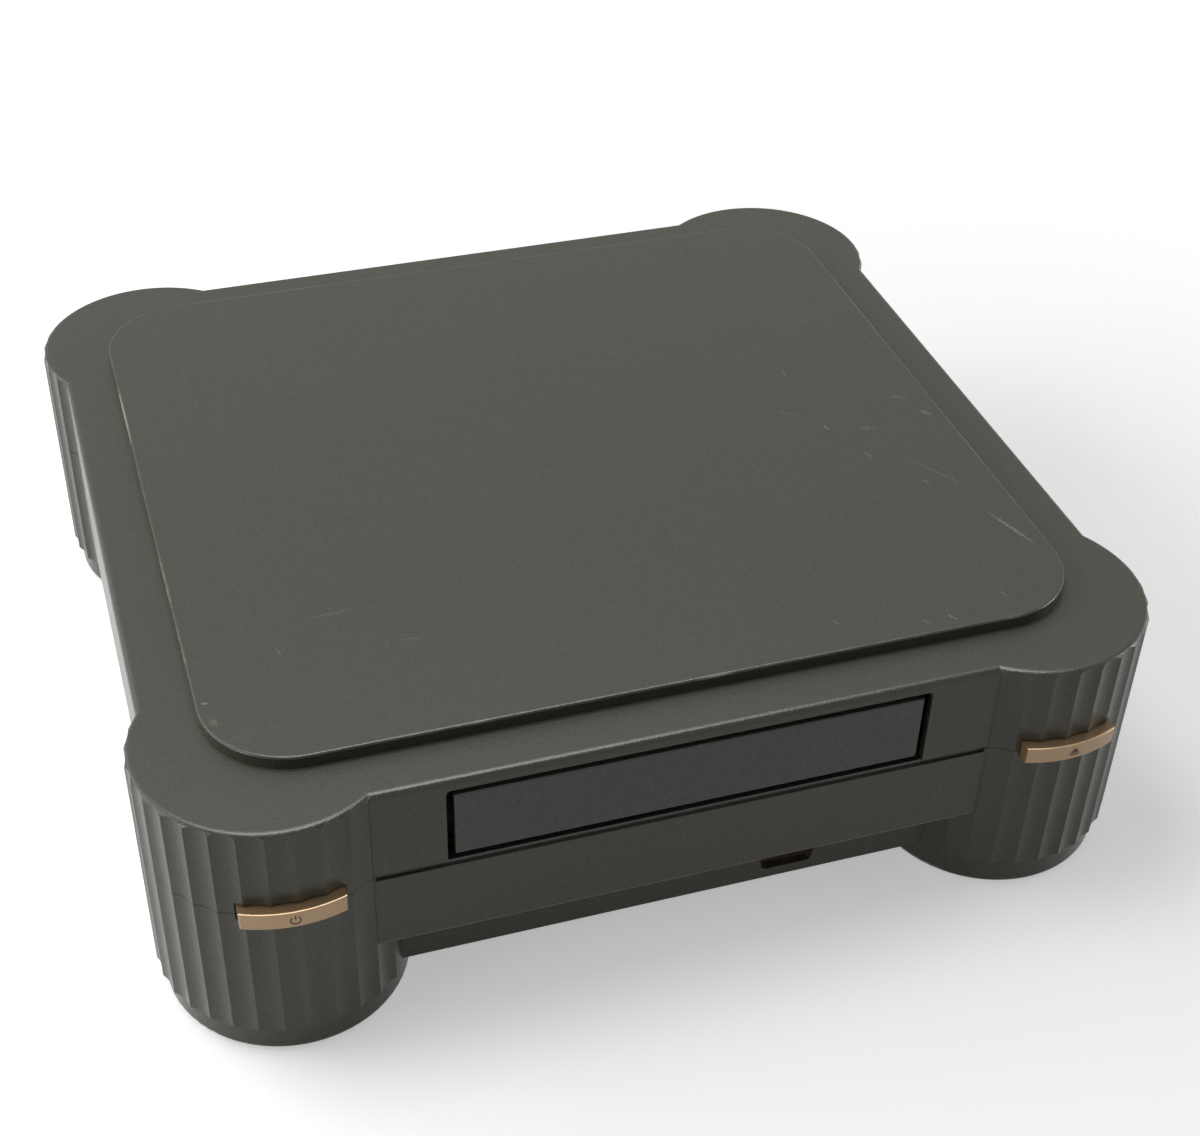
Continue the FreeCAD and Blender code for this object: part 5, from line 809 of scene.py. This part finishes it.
# The two radii of each tube, how deep it reaches and how far its end is set back
JACK_CONTACT_RADII = (1.62 * MM, 1.2 * MM)
JACK_CONTACT_DEPTH = 6 * MM
INSULATOR_RADII = (2.05 * MM, 0.95 * MM)
INSULATOR_SET_BACK = 1.2 * MM
AERIAL_CONTACT_RADII = (1.0 * MM, 0.6 * MM)
AERIAL_CONTACT_SET_BACK = 0.9 * MM
AERIAL_DEPTH = 5 * MM
S_VIDEO_RADII = (0.3 * MM, 0.55 * MM)
S_VIDEO_DEPTH = 2 * MM
# Across, up, from the middle of the S-Video socket
S_VIDEO_CONTACTS = ((-1.9 * MM, -0.6 * MM), (1.9 * MM, -0.6 * MM),
                    (-1.1 * MM, 1.6 * MM), (1.1 * MM, 1.6 * MM))


def tube(radii, start, end):
    """The outline of a tube between two radii, from one place along Y to another."""
    return ((radii[0], start), (radii[0], end), (radii[1], end), (radii[1], start))


def turned_piece(name, places, points, finish):
    """The same turned body on each of several lines along Y, given as (x, z)."""
    shape = bmesh.new()
    for place in places:
        turned_ring(shape, place, points)
    bmesh.ops.recalc_face_normals(shape, faces=shape.faces[:])
    piece = new_piece(name, shape, finishes[finish], "case")
    piece.data.set_sharp_from_angle(angle=math.radians(SMOOTH_ANGLE))


def rear_connectors():
    """Sleeves, insulators and contacts of the sockets."""
    jacks = [(middle(node).x, SOCKET_Z)
             for node in ("video_jack", "audio_left_jack", "audio_right_jack")]
    turned_piece("jack_sleeves", jacks,
                 ((SLEEVE_BORE, BAY_Y + SLEEVE_GAP), (SLEEVE_RADIUS, BAY_Y + SLEEVE_GAP),
                  (SLEEVE_RADIUS, JACK_TIP - SLEEVE_BEVEL), (SLEEVE_BORE, JACK_TIP + SLEEVE_PROUD),
                  (SLEEVE_LIP, JACK_TIP + SLEEVE_PROUD),
                  (SLEEVE_LIP_INNER, JACK_TIP - SLEEVE_LIP_DEPTH)),
                 "tin_plate")
    turned_piece("jack_contacts", jacks,
                 tube(JACK_CONTACT_RADII, JACK_TIP - JACK_CONTACT_DEPTH,
                      JACK_TIP + JACK_CONTACT_PROUD),
                 "contact_brass")
    aerial_x = middle("channel_switch").x + SWITCH_TRAVEL / 2
    aerials = [(aerial_x + side * AERIAL_PITCH / 2, SOCKET_Z) for side in (-1, 1)]
    turned_piece("aerial_insulators", aerials,
                 tube(INSULATOR_RADII, AERIAL_TIP - AERIAL_DEPTH,
                      AERIAL_TIP - INSULATOR_SET_BACK),
                 "jack_white")
    turned_piece("aerial_contacts", aerials,
                 tube(AERIAL_CONTACT_RADII, AERIAL_TIP - AERIAL_DEPTH,
                      AERIAL_TIP - AERIAL_CONTACT_SET_BACK),
                 "contact_brass")
    s_video_x = middle("s_video_jack").x
    turned_piece("s_video_contacts",
                 [(s_video_x + across, SOCKET_Z + up) for across, up in S_VIDEO_CONTACTS],
                 tube(S_VIDEO_RADII, BAY_Y - S_VIDEO_DEPTH, BAY_Y + S_VIDEO_PROUD),
                 "contact_brass")


rear_connectors()


# Light, ground and camera

# The rays that show the ground and the sky as they look, not as they light the object
SHOWN_RAYS = ("Is Camera Ray", "Is Glossy Ray", "Is Transmission Ray")
SKY_LIGHT = 0.1
GROUND_HALF = 6
GROUND_ALBEDO = 0.9
# The ground's own white: between two distances from the middle, and its strength at each
GROUND_RISE = (0.25, 1.1)
GROUND_LIFT = (0.42, 0.95)
# Name, place, target, sides, watts
LAMPS = (
    ("overhead", (-0.4, 0.2, 1.45), (0, 0, 0), (0.6, 0.6), 5.5),
    ("key", (-0.8, 0.3, 0.6), (-0.1, 0, 0), (0.9, 0.6), 5.5),
    ("left", (-1.3, -0.1, 0.4), (0, 0, 0.05), (1.2, 0.7), 5),
    ("right", (1.3, -0.1, 0.4), (0, 0, 0.05), (1.0, 0.7), 3),
)
# The same for cards that only gloss sees: they draw the bright lines along rims and flutes
CARDS = (
    ("top_card", (0, 0, 1.5), (0, 0, 0), (1.1, 1.1), 38),
    ("left_card", (-1.2, -0.55, 0.45), (0, 0, 0.05), (0.3, 0.8), 6),
    ("right_card", (1.2, -0.35, 0.4), (0, 0, 0.05), (0.3, 0.8), 6),
)
CAMERA_PLACE = (-0.1553, -0.4989, 0.4520)
CAMERA_AZIMUTH = math.radians(18.12)
CAMERA_DIP = math.radians(39.17)
CAMERA_ROLL = math.radians(1.23)
# Focal length and sensor in millimetres, shift as a share of the picture
CAMERA_LENS = 59.58
CAMERA_SENSOR = 36
CAMERA_SHIFT = (0.0207, 0.0335)


def shown(tree):
    """1 on the rays that show a surface, 0 on those that only carry its light."""
    path = tree.node("ShaderNodeLightPath", {})
    return tree.combined("MAXIMUM", [path.outputs[kind] for kind in SHOWN_RAYS])


def pale_ground():
    """A white floor that keeps the object's shadow and brightens with distance."""
    mesh = bpy.data.meshes.new("ground")
    shape = bmesh.new()
    bmesh.ops.create_grid(shape, x_segments=1, y_segments=1, size=GROUND_HALF)
    shape.to_mesh(mesh)
    shape.free()
    ground = bpy.data.objects.new("ground", mesh)
    bpy.context.scene.collection.objects.link(ground)
    finish = Finish("ground", roughness=0.9, specular=0.1)
    finish.colour((GROUND_ALBEDO, GROUND_ALBEDO, GROUND_ALBEDO, 1))
    rise = finish.span(finish.length(finish.place), *GROUND_RISE, *GROUND_LIFT)
    finish.shader.inputs["Emission Color"].default_value = (1, 1, 1, 1)
    finish.link(finish.maths("MULTIPLY", shown(finish), rise),
                finish.shader.inputs["Emission Strength"])
    mesh.materials.append(finish.material)


def soft_light(name, place, target, sides, power, glossy_only):
    """A rectangular lamp, hidden from the camera, that looks at a target.

    A glossy_only lamp shows in reflections but lights nothing else.
    """
    data = bpy.data.lights.new(name, "AREA")
    data.shape = "RECTANGLE"
    data.size, data.size_y = sides
    data.energy = power
    lamp = bpy.data.objects.new(name, data)
    bpy.context.scene.collection.objects.link(lamp)
    lamp.location = place
    lamp.visible_camera = False
    lamp.visible_diffuse = not glossy_only
    direction = Vector(target) - Vector(place)
    lamp.rotation_euler = direction.to_track_quat("-Z", "Y").to_euler()


def white_sky():
    """A sky that looks white but lights the object only faintly."""
    world = bpy.data.worlds.new("studio")
    bpy.context.scene.world = world
    world.use_nodes = True
    tree = Tree(world.node_tree)
    background = world.node_tree.nodes["Background"]
    background.inputs["Color"].default_value = (1, 1, 1, 1)
    tree.link(tree.span(shown(tree), 0.0, 1.0, SKY_LIGHT, 1.0), background.inputs["Strength"])


def photo_camera():
    """A camera in front on the left, turned about its three axes by the angles above."""
    data = bpy.data.cameras.new("camera")
    data.lens = CAMERA_LENS
    data.sensor_width = CAMERA_SENSOR
    data.shift_x, data.shift_y = CAMERA_SHIFT
    camera = bpy.data.objects.new("camera", data)
    bpy.context.scene.collection.objects.link(camera)
    forward = Vector((math.sin(CAMERA_AZIMUTH) * math.cos(CAMERA_DIP),
                      math.cos(CAMERA_AZIMUTH) * math.cos(CAMERA_DIP),
                      -math.sin(CAMERA_DIP)))
    right = Vector((math.cos(CAMERA_AZIMUTH), -math.sin(CAMERA_AZIMUTH), 0))
    up = right.cross(forward)
    turned_right = math.cos(CAMERA_ROLL) * right + math.sin(CAMERA_ROLL) * up
    turned_up = math.cos(CAMERA_ROLL) * up - math.sin(CAMERA_ROLL) * right
    axes = Matrix((turned_right, turned_up, -forward)).transposed()
    camera.matrix_world = Matrix.Translation(CAMERA_PLACE) @ axes.to_4x4()
    bpy.context.scene.camera = camera


pale_ground()
white_sky()
for lamp in LAMPS:
    soft_light(*lamp, glossy_only=False)
for card in CARDS:
    soft_light(*card, glossy_only=True)
photo_camera()
bpy.context.scene.view_settings.view_transform = "Standard"
